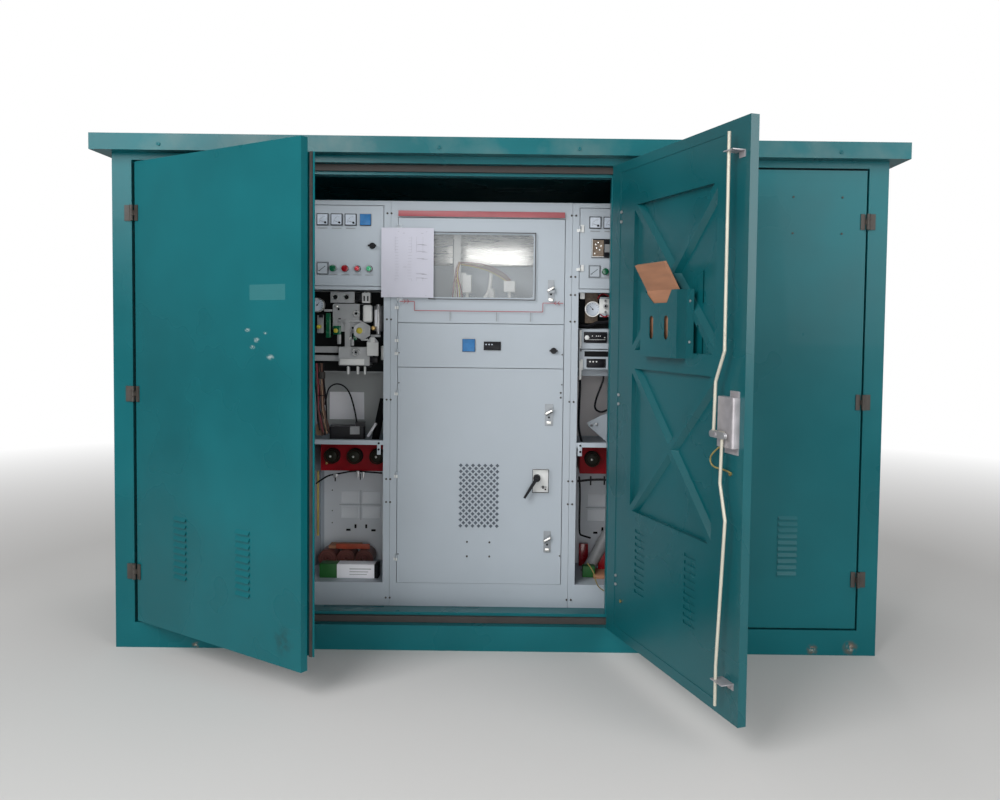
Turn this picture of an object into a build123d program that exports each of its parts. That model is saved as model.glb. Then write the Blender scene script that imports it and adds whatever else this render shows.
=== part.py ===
"""Outdoor switchgear kiosk with three hinged front doors and three metal-enclosed cubicles inside.

Millimetres, +Z up, front towards -Y, origin at the centre of the base on the ground.
The doors are built closed and then swung to the angles in REST.
"""

import os
from math import cos, radians, sin

from build123d import *

# Body
WIDTH = 2990
DEPTH = 1300
BASE_H = 97
FLOOR_T = 3
WALL_TOP = 1930
SHEET = 3
POST_W = 75
POST_D = 60
POST_T = 3
RAIL_H = 28
ROOF_H = 62
ROOF_OVER = 60
ROOF_T = 3
FRONT = -DEPTH / 2
FLOOR = BASE_H + FLOOR_T

# Doors
LEAF_T = 28
SKIN = 2
LIP = 70
LOCK_LIP = 138
EDGE_GAP = 8
LEAF_GAP = 8
MULLION_W = 80
MULLION_LEFT = 471
PIVOT_OUT = 12
STOP_BACK = 50
STOP_W = 38
STOP_D = 55
STOP_T = 3
SEAL_W = 26
SEAL_CLEAR = 6

DOOR_Z0 = FLOOR + LEAF_GAP
DOOR_Z1 = WALL_TOP - RAIL_H - LEAF_GAP
POST_IN_L = -WIDTH / 2 + POST_W
POST_IN_R = WIDTH / 2 - POST_W
PAIR_W = (MULLION_LEFT - POST_IN_L - 3 * EDGE_GAP) / 2
RIGHT_W = POST_IN_R - (MULLION_LEFT + MULLION_W) - 2 * EDGE_GAP

REST_LEFT = 33.9
REST_MIDDLE = 110.0

# louvres in each leaf: columns measured from the hinge edge
LOUVRE_W = 74
LOUVRE_ROWS = 10
LOUVRE_PITCH = 24.5
LOUVRE_SLOT = 9
LOUVRE_HOOD = 7
LOUVRE_Z0 = 318
LOUVRE_COLS = (274, 634)

# document pocket of the middle door: x from the hinge edge, z
POCKET = (322, 582, 1182, 1406)
POCKET_D = 36
POCKET_T = 2

# lock of the middle door: box, crank and two rods
LOCK_W, LOCK_H, LOCK_D = 88, 150, 24
LOCK_IN = 24
LOCK_X0 = PAIR_W - LOCK_IN - LOCK_W
LOCK_Z0 = 929
LOCK_Y1 = LEAF_T + LOCK_D
ROD_Y = LOCK_Y1 + 8
ROD_R = 5
EYE_T = 4
CRANK_T = 4
CRANK_Y = ROD_Y + ROD_R + 1
CRANK = (LOCK_X0 + 21, LOCK_Z0 + 37)
CRANK_PIN = 24
CRANK_END = 50
SHAFT_R = 7
PIN_OF_ROD_R = 4
RUN = 0.15
THROW = radians(45)
ROD_TRAVEL = CRANK_PIN * sin(THROW)
KEEPER_R = ROD_R + 3
STOP_WEB_TOP = WALL_TOP - RAIL_H - STOP_W
STOP_WEB_LOW = FLOOR + STOP_W
UPPER_X = LOCK_X0 + 49
LOWER_X = LOCK_X0 + 37

# door hinges
HINGE_H = 60
HINGE_T = 5
HINGE_FIXED_W = 26
HINGE_MOVING_W = 22
BARREL_R = 7
PIN_R = 3
PIN_CLEAR = 0.05
KNUCKLE_GAP = 1
HINGE_DROP = 196

# Cubicles
CUBICLE_BACK = 250
CUBICLE_D = 850
CUBICLE_TOP = 1791
CUBICLE_LEFT = -460
MID_W = 750
SIDE_W = 375
UP_W = 28
UP_D = 40
CSHEET = 2
SKIRT_H = 100
PLAY = 1
FACE = FRONT + CUBICLE_BACK
DOOR_PLAY = 2.5
CDOOR_T = 20
TOP_RAIL = 65
WINDOW_Z0 = 1291
STRIP_Z0 = 1107
LOWER_Z0 = 199
WINDOW_BOX = (-292, 130, 1398, 1656)
WINDOW_R = 12
CPIN_OUT = 8
CPIN_R = 3
CBARREL_R = 5

PANEL_Z0 = 1440
PANEL_TOP = 1770
SHELF_Z = 779
SHELF_H = 19


# Helpers
def block(x0, x1, y0, y1, z0, z1):
    return Pos(x0, y0, z0) * Box(x1 - x0, y1 - y0, z1 - z0, align=(Align.MIN,) * 3)


def rod(x, y, z, r, h, axis="z"):
    turn = {"x": Rot(0, 90, 0), "y": Rot(-90, 0, 0), "z": Rot(0, 0, 0)}[axis]
    return Pos(x, y, z) * turn * Cylinder(r, h, align=(Align.CENTER, Align.CENTER, Align.MIN))


def bar(points, r):
    """A round bar through the points, with rounded bends."""
    solid = None
    for a, b in zip(points, points[1:]):
        a, b = Vector(*a), Vector(*b)
        d = b - a
        piece = Plane(origin=a, z_dir=d) * Cylinder(
            r, d.length, align=(Align.CENTER, Align.CENTER, Align.MIN)
        )
        solid = piece if solid is None else solid + piece
    for p in points[1:-1]:
        solid = solid + Pos(*p) * Sphere(r)
    return solid


def swing(shape, pivot, angle):
    return Pos(pivot[0], pivot[1], 0) * Rot(0, 0, angle) * Pos(-pivot[0], -pivot[1], 0) * shape


parts = {}


def node(name, *shapes):
    """Files one node: solids of one shape list, kept apart where they don't touch."""
    solids = []
    for s in shapes:
        solids += s.solids() if hasattr(s, "solids") else list(s)
    parts[name] = Compound(children=[Solid(s.wrapped) for s in solids]) if len(solids) > 1 else solids[0]


# Base and body
def base_frame():
    x, y = WIDTH / 2, DEPTH / 2
    web, flange, foot = 5, 70, 8
    ring = (
        block(-x, x, -y, y, 0, BASE_H)
        - block(-x + flange, x - flange, -y + flange, y - flange, -1, BASE_H + 1)
    )
    ring -= block(-x + web, x - web, -y + web, y - web, foot, BASE_H - web)
    ring += block(-x + web, x - web, -y + web, y - web, BASE_H - web, BASE_H) - block(
        -x + flange, x - flange, -y + flange, y - flange, -1, BASE_H + 1
    )
    for cx in (CUBICLE_LEFT - SIDE_W, CUBICLE_LEFT, CUBICLE_LEFT + MID_W, CUBICLE_LEFT + MID_W + SIDE_W):
        ring += block(cx - 25, cx + 25, -y + web, y - web, BASE_H - 50, BASE_H)
    return ring


ANCHOR_IN = 38
ANCHOR_R = 9
frame = base_frame()
for sx in (-1, 1):
    for sy in (-1, 1):
        frame -= rod(sx * (WIDTH / 2 - ANCHOR_IN), sy * (DEPTH / 2 - ANCHOR_IN), -1, ANCHOR_R, 20)
node("base_frame", frame)
node("floor_plate", block(-WIDTH / 2, WIDTH / 2, -DEPTH / 2, DEPTH / 2, BASE_H, FLOOR))


def tube(x0, x1, y0, y1, z0, z1, t=POST_T):
    return block(x0, x1, y0, y1, z0, z1) - block(x0 + t, x1 - t, y0 + t, y1 - t, z0 - 1, z1 + 1)


POST_TOP = WALL_TOP - RAIL_H
node(
    "frame_posts",
    tube(-WIDTH / 2, POST_IN_L, FRONT, FRONT + POST_D, FLOOR, POST_TOP),
    tube(POST_IN_R, WIDTH / 2, FRONT, FRONT + POST_D, FLOOR, POST_TOP),
    tube(MULLION_LEFT, MULLION_LEFT + MULLION_W, FRONT, FRONT + STOP_BACK, FLOOR, POST_TOP),
    tube(-WIDTH / 2, POST_IN_L, -FRONT - POST_D, -FRONT, FLOOR, POST_TOP),
    tube(POST_IN_R, WIDTH / 2, -FRONT - POST_D, -FRONT, FLOOR, POST_TOP),
)
x, y = WIDTH / 2, DEPTH / 2
node(
    "head_rail",
    block(-x, x, -y, y, POST_TOP, WALL_TOP) - block(
        -x + POST_W, x - POST_W, -y + POST_D, y - POST_D, POST_TOP - 1, WALL_TOP + 1
    ),
)

SIDE_Y0, SIDE_Y1 = FRONT + POST_D, -FRONT - POST_D


def louvre_column(cx, z0, rows=LOUVRE_ROWS):
    """Slots and hoods of one column in a sheet that lies in the XZ plane at y 0, facing -Y."""
    lip = 1
    profile = Polygon(
        (0, LOUVRE_SLOT + 5), (-LOUVRE_HOOD, lip), (-LOUVRE_HOOD, -lip), (0, LOUVRE_SLOT), align=None
    )
    slots, hoods = [], []
    for i in range(rows):
        z = z0 + i * LOUVRE_PITCH
        slots.append(block(cx - LOUVRE_W / 2, cx + LOUVRE_W / 2, -SHEET, 2 * SHEET, z, z + LOUVRE_SLOT))
        hoods.append(
            extrude(
                Plane(origin=(cx - LOUVRE_W / 2, 0, z), x_dir=(0, 1, 0), z_dir=(1, 0, 0)) * profile,
                LOUVRE_W,
            )
        )
    return slots, hoods


def louvred(sheet, columns, z0, rows=LOUVRE_ROWS):
    for cx in columns:
        slots, hoods = louvre_column(cx, z0, rows)
        sheet = sheet - slots + hoods
    return sheet


def side_sheet():
    """A side wall in the XZ plane, facing -Y, x running over its length."""
    length = SIDE_Y1 - SIDE_Y0
    s = block(0, length, 0, SHEET, FLOOR, POST_TOP)
    return louvred(s, (length * 0.28, length * 0.72), LOUVRE_Z0)


left_wall = Pos(-WIDTH / 2, SIDE_Y1, 0) * Rot(0, 0, -90) * side_sheet()
right_wall = Pos(WIDTH / 2, SIDE_Y0, 0) * Rot(0, 0, 90) * side_sheet()
node("side_wall_left", left_wall)
node("side_wall_right", right_wall)
back = louvred(
    block(POST_IN_L, POST_IN_R, 0, SHEET, FLOOR, POST_TOP),
    [POST_IN_L + (i + 0.5) * (POST_IN_R - POST_IN_L) / 6 for i in range(6)],
    LOUVRE_Z0,
)
node("back_wall", Pos(0, -FRONT, 0) * Rot(0, 0, 180) * back)

rx, ry = WIDTH / 2 + ROOF_OVER, DEPTH / 2 + ROOF_OVER
roof = block(-rx, rx, -ry, ry, WALL_TOP, WALL_TOP + ROOF_H)
roof -= block(
    -rx + ROOF_T, rx - ROOF_T, -ry + ROOF_T, ry - ROOF_T, WALL_TOP + ROOF_T, WALL_TOP + ROOF_H - ROOF_T
)
node("roof", roof)

# Door stops and seals
BAYS = ((POST_IN_L, MULLION_LEFT), (MULLION_LEFT + MULLION_W, POST_IN_R))
stops, seals = [], []
for b0, b1 in BAYS:
    y0 = FRONT + STOP_BACK
    outer = block(b0, b1, y0, y0 + STOP_D, FLOOR, POST_TOP)
    hole = block(b0 + STOP_W, b1 - STOP_W, y0 - 1, y0 + STOP_D + 1, FLOOR + STOP_W, POST_TOP - STOP_W)
    hollow = block(b0 - 1, b1 + 1, y0 + STOP_T, y0 + STOP_D + 1, FLOOR - 1, POST_TOP + 1) - block(
        b0 + STOP_W - STOP_T, b1 - STOP_W + STOP_T, y0, y0 + STOP_D + 2, FLOOR + STOP_W - STOP_T, POST_TOP - STOP_W + STOP_T
    )
    stops.append(outer - hole - hollow)
    sy0 = FRONT + LEAF_T + SEAL_CLEAR
    seals.append(
        block(b0 + 1, b1 - 1, sy0, y0, FLOOR + 1, POST_TOP - 1)
        - block(b0 + SEAL_W, b1 - SEAL_W, sy0 - 1, y0 + 1, FLOOR + SEAL_W, POST_TOP - SEAL_W)
    )
# keeper holes where the rods of the closed middle door enter the head and sill channels
for kx, kz in (
    (MULLION_LEFT - EDGE_GAP - UPPER_X, STOP_WEB_TOP - 1),
    (MULLION_LEFT - EDGE_GAP - LOWER_X, STOP_WEB_LOW - STOP_T - 1),
):
    stops[0] -= rod(kx, FRONT + ROD_Y, kz, KEEPER_R, STOP_T + 2)
node("door_stops", *stops)
node("frame_seals", *seals)


# Door leaves
def leaf(w):
    """Pan of one leaf: x 0 at the hinge edge, y 0 on the face, ready in height."""
    z0, z1 = DOOR_Z0, DOOR_Z1
    pan = block(0, w, 0, LEAF_T, z0, z1)
    pan -= block(SKIN, w - SKIN, SKIN, LEAF_T - SKIN, z0 + SKIN, z1 - SKIN)
    pan -= block(LIP, w - LOCK_LIP, LEAF_T - SKIN - 1, LEAF_T + 1, z0 + LIP / 2, z1 - LIP / 2)
    cols = [c for c in LOUVRE_COLS if c < w - LOUVRE_W]
    return louvred(pan, cols, LOUVRE_Z0)


INNER_LAP = 25
PANEL_X0 = 188
PANEL_FREE = 176
PANEL_ROWS = ((DOOR_Z0 + 502, DOOR_Z0 + 1024), (DOOR_Z0 + 1092, DOOR_Z1 - 169))
PANEL_DEEP = 18
ARM_W = 52
ARM_TOP = 24
VENT_SLOT = 11
PRESS_Y = LEAF_T - SKIN


def brace(p, q, base_y):
    """Arm of a pressed cross from p to q, both (x, z): a hollow trapezoid ridge as high as the sheet's face."""
    a, b = Vector(p[0], 0, p[1]), Vector(q[0], 0, q[1])
    d = (b - a).normalized()
    plane = Plane(origin=(a.X, base_y, a.Z), x_dir=(d.Z, 0, -d.X), z_dir=(d.X, 0, d.Z))
    w, t, h, g = ARM_W / 2, ARM_TOP / 2, PRESS_Y - base_y, SKIN
    outer = Polygon((-w, 0), (w, 0), (w, g), (t, h), (-t, h), (-w, g), align=None)
    inner = Polygon((-w + 2 * g, 0), (w - 2 * g, 0), (t - g, h - g), (-t + g, h - g), align=None)
    length = (b - a).length
    return extrude(plane * outer, length), extrude(plane * inner, length)


def inner_sheet(w):
    """Inner sheet of a leaf: two pressed panels with crossed arms above, windows at the louvres below."""
    x0, x1 = PANEL_X0, w - PANEL_FREE
    sheet = block(
        LIP - INNER_LAP,
        w - LOCK_LIP + INNER_LAP,
        PRESS_Y - SKIN,
        PRESS_Y,
        DOOR_Z0 + LIP / 2 - INNER_LAP / 2,
        DOOR_Z1 - LIP / 2 + INNER_LAP / 2,
    )
    floor_y = PRESS_Y - PANEL_DEEP - SKIN
    for z0, z1 in PANEL_ROWS:
        sheet -= block(x0, x1, 0, LEAF_T, z0, z1)
        inside = block(x0, x1, floor_y, PRESS_Y, z0, z1)
        tray_ = (
            block(x0 - SKIN, x1 + SKIN, floor_y, PRESS_Y, z0 - SKIN, z1 + SKIN)
            - block(x0, x1, floor_y + SKIN, LEAF_T, z0, z1)
        )
        arms = [brace((x0, z0), (x1, z1), floor_y), brace((x0, z1), (x1, z0), floor_y)]
        for solid, _ in arms:
            tray_ += solid & inside
        hollow = (arms[0][1] & inside) + (arms[1][1] & inside)
        sheet += tray_ - hollow
    for cx in LOUVRE_COLS:
        if cx < w - LOCK_LIP - LOUVRE_W / 2:
            rows = [LOUVRE_Z0 + i * LOUVRE_PITCH for i in range(LOUVRE_ROWS)]
            sheet -= [block(cx - LOUVRE_W / 2, cx + LOUVRE_W / 2, 0, LEAF_T, z, z + VENT_SLOT) for z in rows]
    return sheet


def hinge_fixed():
    """Post half of a hinge: pin axis at the origin, post towards -x, from z 0."""
    third = HINGE_H / 3
    s = rod(0, 0, 0, BARREL_R, HINGE_H) + block(-BARREL_R - 2, 0, 0, PIVOT_OUT - 0.5, 0, HINGE_H)
    s -= block(-BARREL_R - 3, BARREL_R + 2, -BARREL_R - 2, PIVOT_OUT + 1, third, 2 * third)
    s += block(-HINGE_FIXED_W - EDGE_GAP / 2, -BARREL_R - 2, PIVOT_OUT - HINGE_T, PIVOT_OUT, 0, HINGE_H)
    return s + rod(0, 0, 0, PIN_R, HINGE_H)


def hinge_moving():
    """Door half: pin axis at the origin, door towards +x."""
    third = HINGE_H / 3
    s = rod(0, 0, third + KNUCKLE_GAP, BARREL_R, third - 2 * KNUCKLE_GAP)
    s += block(0, BARREL_R + 2, 0, PIVOT_OUT - 0.5, third + KNUCKLE_GAP, 2 * third - KNUCKLE_GAP)
    s += block(BARREL_R + 2, EDGE_GAP / 2 + HINGE_MOVING_W, PIVOT_OUT - HINGE_T, PIVOT_OUT, 0, HINGE_H)
    return s - rod(0, 0, 0, PIN_R + PIN_CLEAR, HINGE_H)


HINGE_Z = [
    DOOR_Z1 - HINGE_DROP - HINGE_H / 2,
    (DOOR_Z0 + DOOR_Z1) / 2 - HINGE_H / 2,
    DOOR_Z0 + HINGE_DROP - HINGE_H / 2,
]


def flip(shape):
    return mirror(shape, about=Plane.YZ)


PIVOT_A = (POST_IN_L + EDGE_GAP / 2, FRONT - PIVOT_OUT)
PIVOT_B = (MULLION_LEFT - EDGE_GAP / 2, FRONT - PIVOT_OUT)
PIVOT_C = (POST_IN_R - EDGE_GAP / 2, FRONT - PIVOT_OUT)

fixed = []
for z in HINGE_Z:
    fixed.append(Pos(PIVOT_A[0], PIVOT_A[1], z) * hinge_fixed())
    fixed.append(Pos(PIVOT_B[0], PIVOT_B[1], z) * flip(hinge_fixed()))
    fixed.append(Pos(PIVOT_C[0], PIVOT_C[1], z) * flip(hinge_fixed()))
node("post_hinges", *fixed)


def left_door(shape):
    """From the leaf's own axes to the left door at rest."""
    return swing(Pos(POST_IN_L + EDGE_GAP, FRONT, 0) * shape, PIVOT_A, -REST_LEFT)


def middle_door(shape):
    return swing(Pos(MULLION_LEFT - EDGE_GAP, FRONT, 0) * flip(shape), PIVOT_B, REST_MIDDLE)


def right_door(shape):
    return Pos(POST_IN_R - EDGE_GAP, FRONT, 0) * flip(shape)


HINGES = [Pos(-EDGE_GAP / 2, -PIVOT_OUT, z) * hinge_moving() for z in HINGE_Z]
node("leaf_left", left_door(leaf(PAIR_W)))
node("inner_sheet_left", left_door(inner_sheet(PAIR_W)))
node("hinges_left", *[left_door(h) for h in HINGES])
ASTRAGAL_Y = 40
ASTRAGAL_LAP = 10.5
ASTRAGAL_Z = (DOOR_Z0 + STOP_W + 8, DOOR_Z1 - STOP_W - 8)
web_x = PAIR_W - 20
node(
    "astragal",
    left_door(
        block(web_x, PAIR_W + EDGE_GAP + ASTRAGAL_LAP, ASTRAGAL_Y, ASTRAGAL_Y + STOP_T, *ASTRAGAL_Z)
        + block(web_x, web_x + STOP_T, LEAF_T, ASTRAGAL_Y, *ASTRAGAL_Z)
        + block(web_x - 30, web_x + STOP_T, LEAF_T, LEAF_T + STOP_T, *ASTRAGAL_Z)
    ),
)
ASTRAGAL_SEAL = (PAIR_W + 2, PAIR_W + EDGE_GAP + ASTRAGAL_LAP - 6.5)
node(
    "astragal_seal",
    left_door(block(*ASTRAGAL_SEAL, LEAF_T + SEAL_CLEAR, ASTRAGAL_Y, *ASTRAGAL_Z)),
)
node("leaf_middle", middle_door(leaf(PAIR_W)))
SLIT_X = 650
middle_inner = inner_sheet(PAIR_W)
for z0, z1 in ((POCKET[2] + 15, POCKET[2] + 109), (POCKET[3] - 45, POCKET[3] + 58)):
    middle_inner -= block(SLIT_X, SLIT_X + 8, 0, LEAF_T, z0, z1)
node("inner_sheet_middle", middle_door(middle_inner))
node("hinges_middle", *[middle_door(h) for h in HINGES])
node("leaf_right", right_door(leaf(RIGHT_W)))
node("inner_sheet_right", right_door(inner_sheet(RIGHT_W)))
node("hinges_right", *[right_door(h) for h in HINGES])

# document pocket on the middle door, with a folder whose upper half leans out of it
px0, px1, pz0, pz1 = POCKET
fx0, fx1 = px0 + POCKET_T, px1 - POCKET_T
py0, py1 = PRESS_Y, PRESS_Y + POCKET_D
pocket = (
    block(px0, px1, py0, py1, pz0, pz1)
    - block(fx0, fx1, py0 + POCKET_T, py1 - POCKET_T, pz0 + POCKET_T, pz1 + 1)
)
notch_mid = px0 + 142
notch = Polygon(
    (notch_mid - 112, pz1 + 1),
    (notch_mid - 48, pz1 - 42),
    (notch_mid + 48, pz1 - 42),
    (notch_mid + 80, pz1 + 1),
    align=None,
)
pocket -= extrude(Plane(origin=(0, py1 + 1, 0), x_dir=(1, 0, 0), z_dir=(0, -1, 0)) * notch, POCKET_T + 2)
for cx in (px0 + 81, px0 + 186):
    slot = Pos(cx, py1 + 1, (pz0 + pz1) / 2 - 12) * Rot(90, 0, 0) * SlotOverall(80, 28, rotation=90)
    pocket -= extrude(slot, POCKET_T + 2)
flange = block(px1 - POCKET_T, px1 + 47, py0, py0 + POCKET_T, pz0, pz1)
for z in (pz1 - 36, pz0 + 54):
    flange -= rod(px1 + 26, py0 - 1, z, 3, 4, "y")
pocket += flange
node("document_pocket", middle_door(pocket))
FOLDER_X = px0 + 42
FOLDER_W = 210
folder_low = pz0 + POCKET_T + 0.5
folder_side = Polygon(
    (py0 + 3.5, folder_low),
    (py0 + 13.5, folder_low),
    (py1 - 3, pz1 + 0.5),
    (py1 + 46, pz1 + 85),
    (py1 + 37.4, pz1 + 90),
    (py1 - 12.8, pz1 + 2.5),
    align=None,
)
folder = extrude(Plane(origin=(FOLDER_X, 0, 0), x_dir=(0, 1, 0), z_dir=(1, 0, 0)) * folder_side, FOLDER_W)
node("document_folder", middle_door(folder))

# lock box, pivoted crank and the two lock rods on the middle door
case = block(LOCK_X0, LOCK_X0 + LOCK_W, LEAF_T, LOCK_Y1, LOCK_Z0, LOCK_Z0 + LOCK_H)
case = fillet(case.edges().filter_by(Axis.Z).sort_by(Axis.Y)[-2:], 6)
case += block(
    LOCK_X0 + 38, LOCK_X0 + LOCK_W - 2, LEAF_T, LEAF_T + 3, LOCK_Z0 + LOCK_H - 1, LOCK_Z0 + LOCK_H + 18
)
case += block(LOCK_X0 + 14, LOCK_X0 + LOCK_W - 2, LEAF_T, LEAF_T + 3, LOCK_Z0 - 20, LOCK_Z0 + 1)
case += rod(CRANK[0], LOCK_Y1 - 1, CRANK[1], SHAFT_R, CRANK_Y + CRANK_T + 3 - LOCK_Y1 + 1, "y")


def rod_guide(x, z):
    """Flat plate standing off the lip of the leaf, bored for a lock rod."""
    end = PAIR_W - LOCK_IN
    g = (
        block(x - ROD_R - 8, end, LEAF_T, ROD_Y + ROD_R + 6, z, z + 3)
        + block(end - 30, end, LEAF_T, LEAF_T + 3, z - 18, z)
    )
    return g - rod(x, ROD_Y, z - 1, ROD_R + 0.6, 5)


GUIDE_UP = DOOR_Z1 - 100
GUIDE_LOW = DOOR_Z0 + 120
node(
    "lock_box",
    middle_door(case),
    middle_door(rod_guide(UPPER_X, GUIDE_UP)),
    middle_door(rod_guide(LOWER_X, GUIDE_LOW)),
)

link = SlotOverall(CRANK_PIN + CRANK_END + 2 * 10, 20)
mid = (CRANK_END - CRANK_PIN) / 2
crank = extrude(
    Plane(origin=(CRANK[0] + mid, CRANK_Y + CRANK_T, CRANK[1]), x_dir=(1, 0, 0), z_dir=(0, -1, 0)) * link,
    CRANK_T,
)
crank -= rod(CRANK[0], CRANK_Y - 1, CRANK[1], SHAFT_R + RUN, CRANK_T + 2, "y")
for side in (-1, 1):
    crank += rod(
        CRANK[0] + side * CRANK_PIN,
        ROD_Y - EYE_T / 2 - 2,
        CRANK[1],
        PIN_OF_ROD_R,
        CRANK_Y - ROD_Y + EYE_T / 2 + 3,
        "y",
    )
crank += rod(CRANK[0] + CRANK_END, CRANK_Y + CRANK_T - 1, CRANK[1], 8, 5, "y")
node("lock_crank", middle_door(crank))


def rod_eye(side):
    """Slotted plate at the crank end of a rod; side is -1 for the pin nearer the hinge."""
    x, z = CRANK[0] + side * CRANK_PIN, CRANK[1]
    slack = CRANK_PIN * (1 - cos(THROW)) + PIN_OF_ROD_R + 1
    inner = x - side * slack
    far = x + side * (PIN_OF_ROD_R + 1)
    height = PIN_OF_ROD_R + 2
    lo, hi = min(inner, far), max(inner, far)
    near_shaft = 3
    plate = block(
        lo - (near_shaft if side > 0 else 6),
        hi + (near_shaft if side < 0 else 6),
        ROD_Y - EYE_T / 2,
        ROD_Y + EYE_T / 2,
        z - height - 5,
        z + height + 5,
    )
    return plate - block(lo, hi, ROD_Y - EYE_T, ROD_Y + EYE_T, z - height, z + height)


def rod_at(points):
    return [(x, ROD_Y, z) for x, z in points]


UPPER_END = STOP_WEB_TOP - 12
LOWER_END = STOP_WEB_LOW + 12
eye_z = PIN_OF_ROD_R + 6
ux, lx = CRANK[0] - CRANK_PIN, CRANK[0] + CRANK_PIN
upper = bar(
    rod_at(
        [
            (ux, CRANK[1] + eye_z),
            (ux + 6, CRANK[1] + 156),
            (UPPER_X, CRANK[1] + 248),
            (UPPER_X, UPPER_END),
        ]
    ),
    ROD_R,
)
lower_rod = bar(
    rod_at(
        [
            (lx, CRANK[1] - eye_z),
            (lx - 6, CRANK[1] - 143),
            (lx + 26, CRANK[1] - 251),
            (LOWER_X, GUIDE_LOW + 26 + ROD_TRAVEL),
            (LOWER_X, LOWER_END),
        ]
    ),
    ROD_R,
)
node("rod_upper", middle_door(upper + rod_eye(-1)))
node("rod_lower", middle_door(lower_rod + rod_eye(1)))


# Cubicles
def carcass(x0, x1, shelves, partition):
    """Sheet-metal case of one cubicle: sides, top, back, floor, front uprights, skirt and shelves."""
    x0, x1 = x0 + PLAY / 2, x1 - PLAY / 2
    y0, y1 = FACE, FACE + CUBICLE_D
    s = (
        block(x0, x1, y0, y1, FLOOR, CUBICLE_TOP)
        - block(x0 + CSHEET, x1 - CSHEET, y0 - 1, y1 - CSHEET, FLOOR - 1, CUBICLE_TOP - CSHEET)
    )
    s += block(x0, x0 + UP_W, y0, y0 + UP_D, FLOOR, CUBICLE_TOP)
    s += block(x1 - UP_W, x1, y0, y0 + UP_D, FLOOR, CUBICLE_TOP)
    s += block(x0, x1, y0, y0 + CSHEET, FLOOR, FLOOR + SKIRT_H - 4)
    s += block(x0, x1, y0, y1, FLOOR + SKIRT_H - 4, FLOOR + SKIRT_H - 2)
    for z in shelves:
        s += block(x0, x1, y0 + CDOOR_T + 5, y0 + partition, z, z + CSHEET)
    s += block(x0, x1, y0 + partition, y0 + partition + CSHEET, FLOOR + SKIRT_H, CUBICLE_TOP)
    return s


LX0, LX1 = CUBICLE_LEFT - SIDE_W, CUBICLE_LEFT
MX0, MX1 = CUBICLE_LEFT, CUBICLE_LEFT + MID_W
RX0, RX1 = MX1, MX1 + SIDE_W
middle = carcass(MX0, MX1, (WINDOW_Z0, STRIP_Z0), 420)
middle += block(MX0 + 1, MX1 - 1, FACE, FACE + UP_D, CUBICLE_TOP - TOP_RAIL, CUBICLE_TOP)
node("cubicle_middle", middle)


def side_carcass(x0, x1):
    s = carcass(x0, x1, (PANEL_Z0 - 14, SHELF_Z), 360)
    s += block(x0 + PLAY / 2, x1 - PLAY / 2, FACE, FACE + UP_D, PANEL_TOP + DOOR_PLAY, CUBICLE_TOP)
    s += block(x0 + PLAY / 2, x1 - PLAY / 2, FACE, FACE + 30, PANEL_Z0 - 16, PANEL_Z0 - DOOR_PLAY)
    s += block(x0 + PLAY / 2, x1 - PLAY / 2, FACE, FACE + 30, SHELF_Z, SHELF_Z + SHELF_H)
    return s


node("cubicle_left", side_carcass(LX0, LX1))
node("cubicle_right", side_carcass(RX0, RX1))


# small doors: x 0 at the pivot side, built in place
def tray(x0, x1, z0, z1, t=CDOOR_T, y0=FACE):
    return (
        block(x0, x1, y0, y0 + t, z0, z1)
        - block(x0 + CSHEET, x1 - CSHEET, y0 + CSHEET, y0 + t + 1, z0 + CSHEET, z1 - CSHEET)
    )


DX0, DX1 = MX0 + PLAY / 2 + UP_W + DOOR_PLAY, MX1 - PLAY / 2 - UP_W - DOOR_PLAY
CPIVOT = (DX0 - DOOR_PLAY / 2, FACE - CPIN_OUT)


def cubicle_hinges(pivot, heights, length=24):
    """Fixed and moving knuckles of pin hinges at the given heights."""
    fixed, moving = [], []
    px, py = pivot
    for z in heights:
        half = length / 2
        f = rod(px, py, z - half, CBARREL_R, half - 0.5)
        f += block(px - 12, px, FACE - 4, FACE, z - half, z - 0.5)
        f += rod(px, py, z - half, CPIN_R, length)
        m = (
            rod(px, py, z + 0.5, CBARREL_R, half - 0.5)
            + block(px, px + 12, FACE - 4, FACE, z + 0.5, z + half)
        )
        m -= rod(px, py, z - half - 1, CPIN_R + PIN_CLEAR, length + 2)
        fixed.append(f)
        moving.append(m)
    return fixed, moving


wx0, wx1, wz0, wz1 = WINDOW_BOX
win = tray(DX0, DX1, WINDOW_Z0, CUBICLE_TOP - TOP_RAIL - DOOR_PLAY)
win -= fillet(block(wx0, wx1, FACE - 1, FACE + 5, wz0, wz1).edges().filter_by(Axis.Y), WINDOW_R)
W_HINGES = (CUBICLE_TOP - TOP_RAIL - 46, WINDOW_Z0 + 67)
S_HINGES = (WINDOW_Z0 - 69, STRIP_Z0 + 61)
L_HINGES = (STRIP_Z0 - 107, (STRIP_Z0 + LOWER_Z0) / 2 + 2, LOWER_Z0 + 107)
wf, wm = cubicle_hinges(CPIVOT, W_HINGES)
sf, sm = cubicle_hinges(CPIVOT, S_HINGES)
lf, lm = cubicle_hinges(CPIVOT, L_HINGES)
node("window_door", win + wm)
node("window_pane", block(wx0 - 10, wx1 + 10, FACE + CSHEET, FACE + CSHEET + 4, wz0 - 10, wz1 + 10))
node("strip_door", tray(DX0, DX1, STRIP_Z0, WINDOW_Z0 - DOOR_PLAY) + sm)
lower = tray(DX0, DX1, LOWER_Z0, STRIP_Z0 - DOOR_PLAY) + lm
GRILLE = (-182, 8, 424, 716)
lower -= block(GRILLE[0], GRILLE[1], FACE - 1, FACE + 4, GRILLE[2], GRILLE[3])
node("lower_door", lower)
GRILLE_PITCH = 25.5
GRILLE_HOLE = 17
gx, gz = (GRILLE[0] + GRILLE[1]) / 2, (GRILLE[2] + GRILLE[3]) / 2
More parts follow.
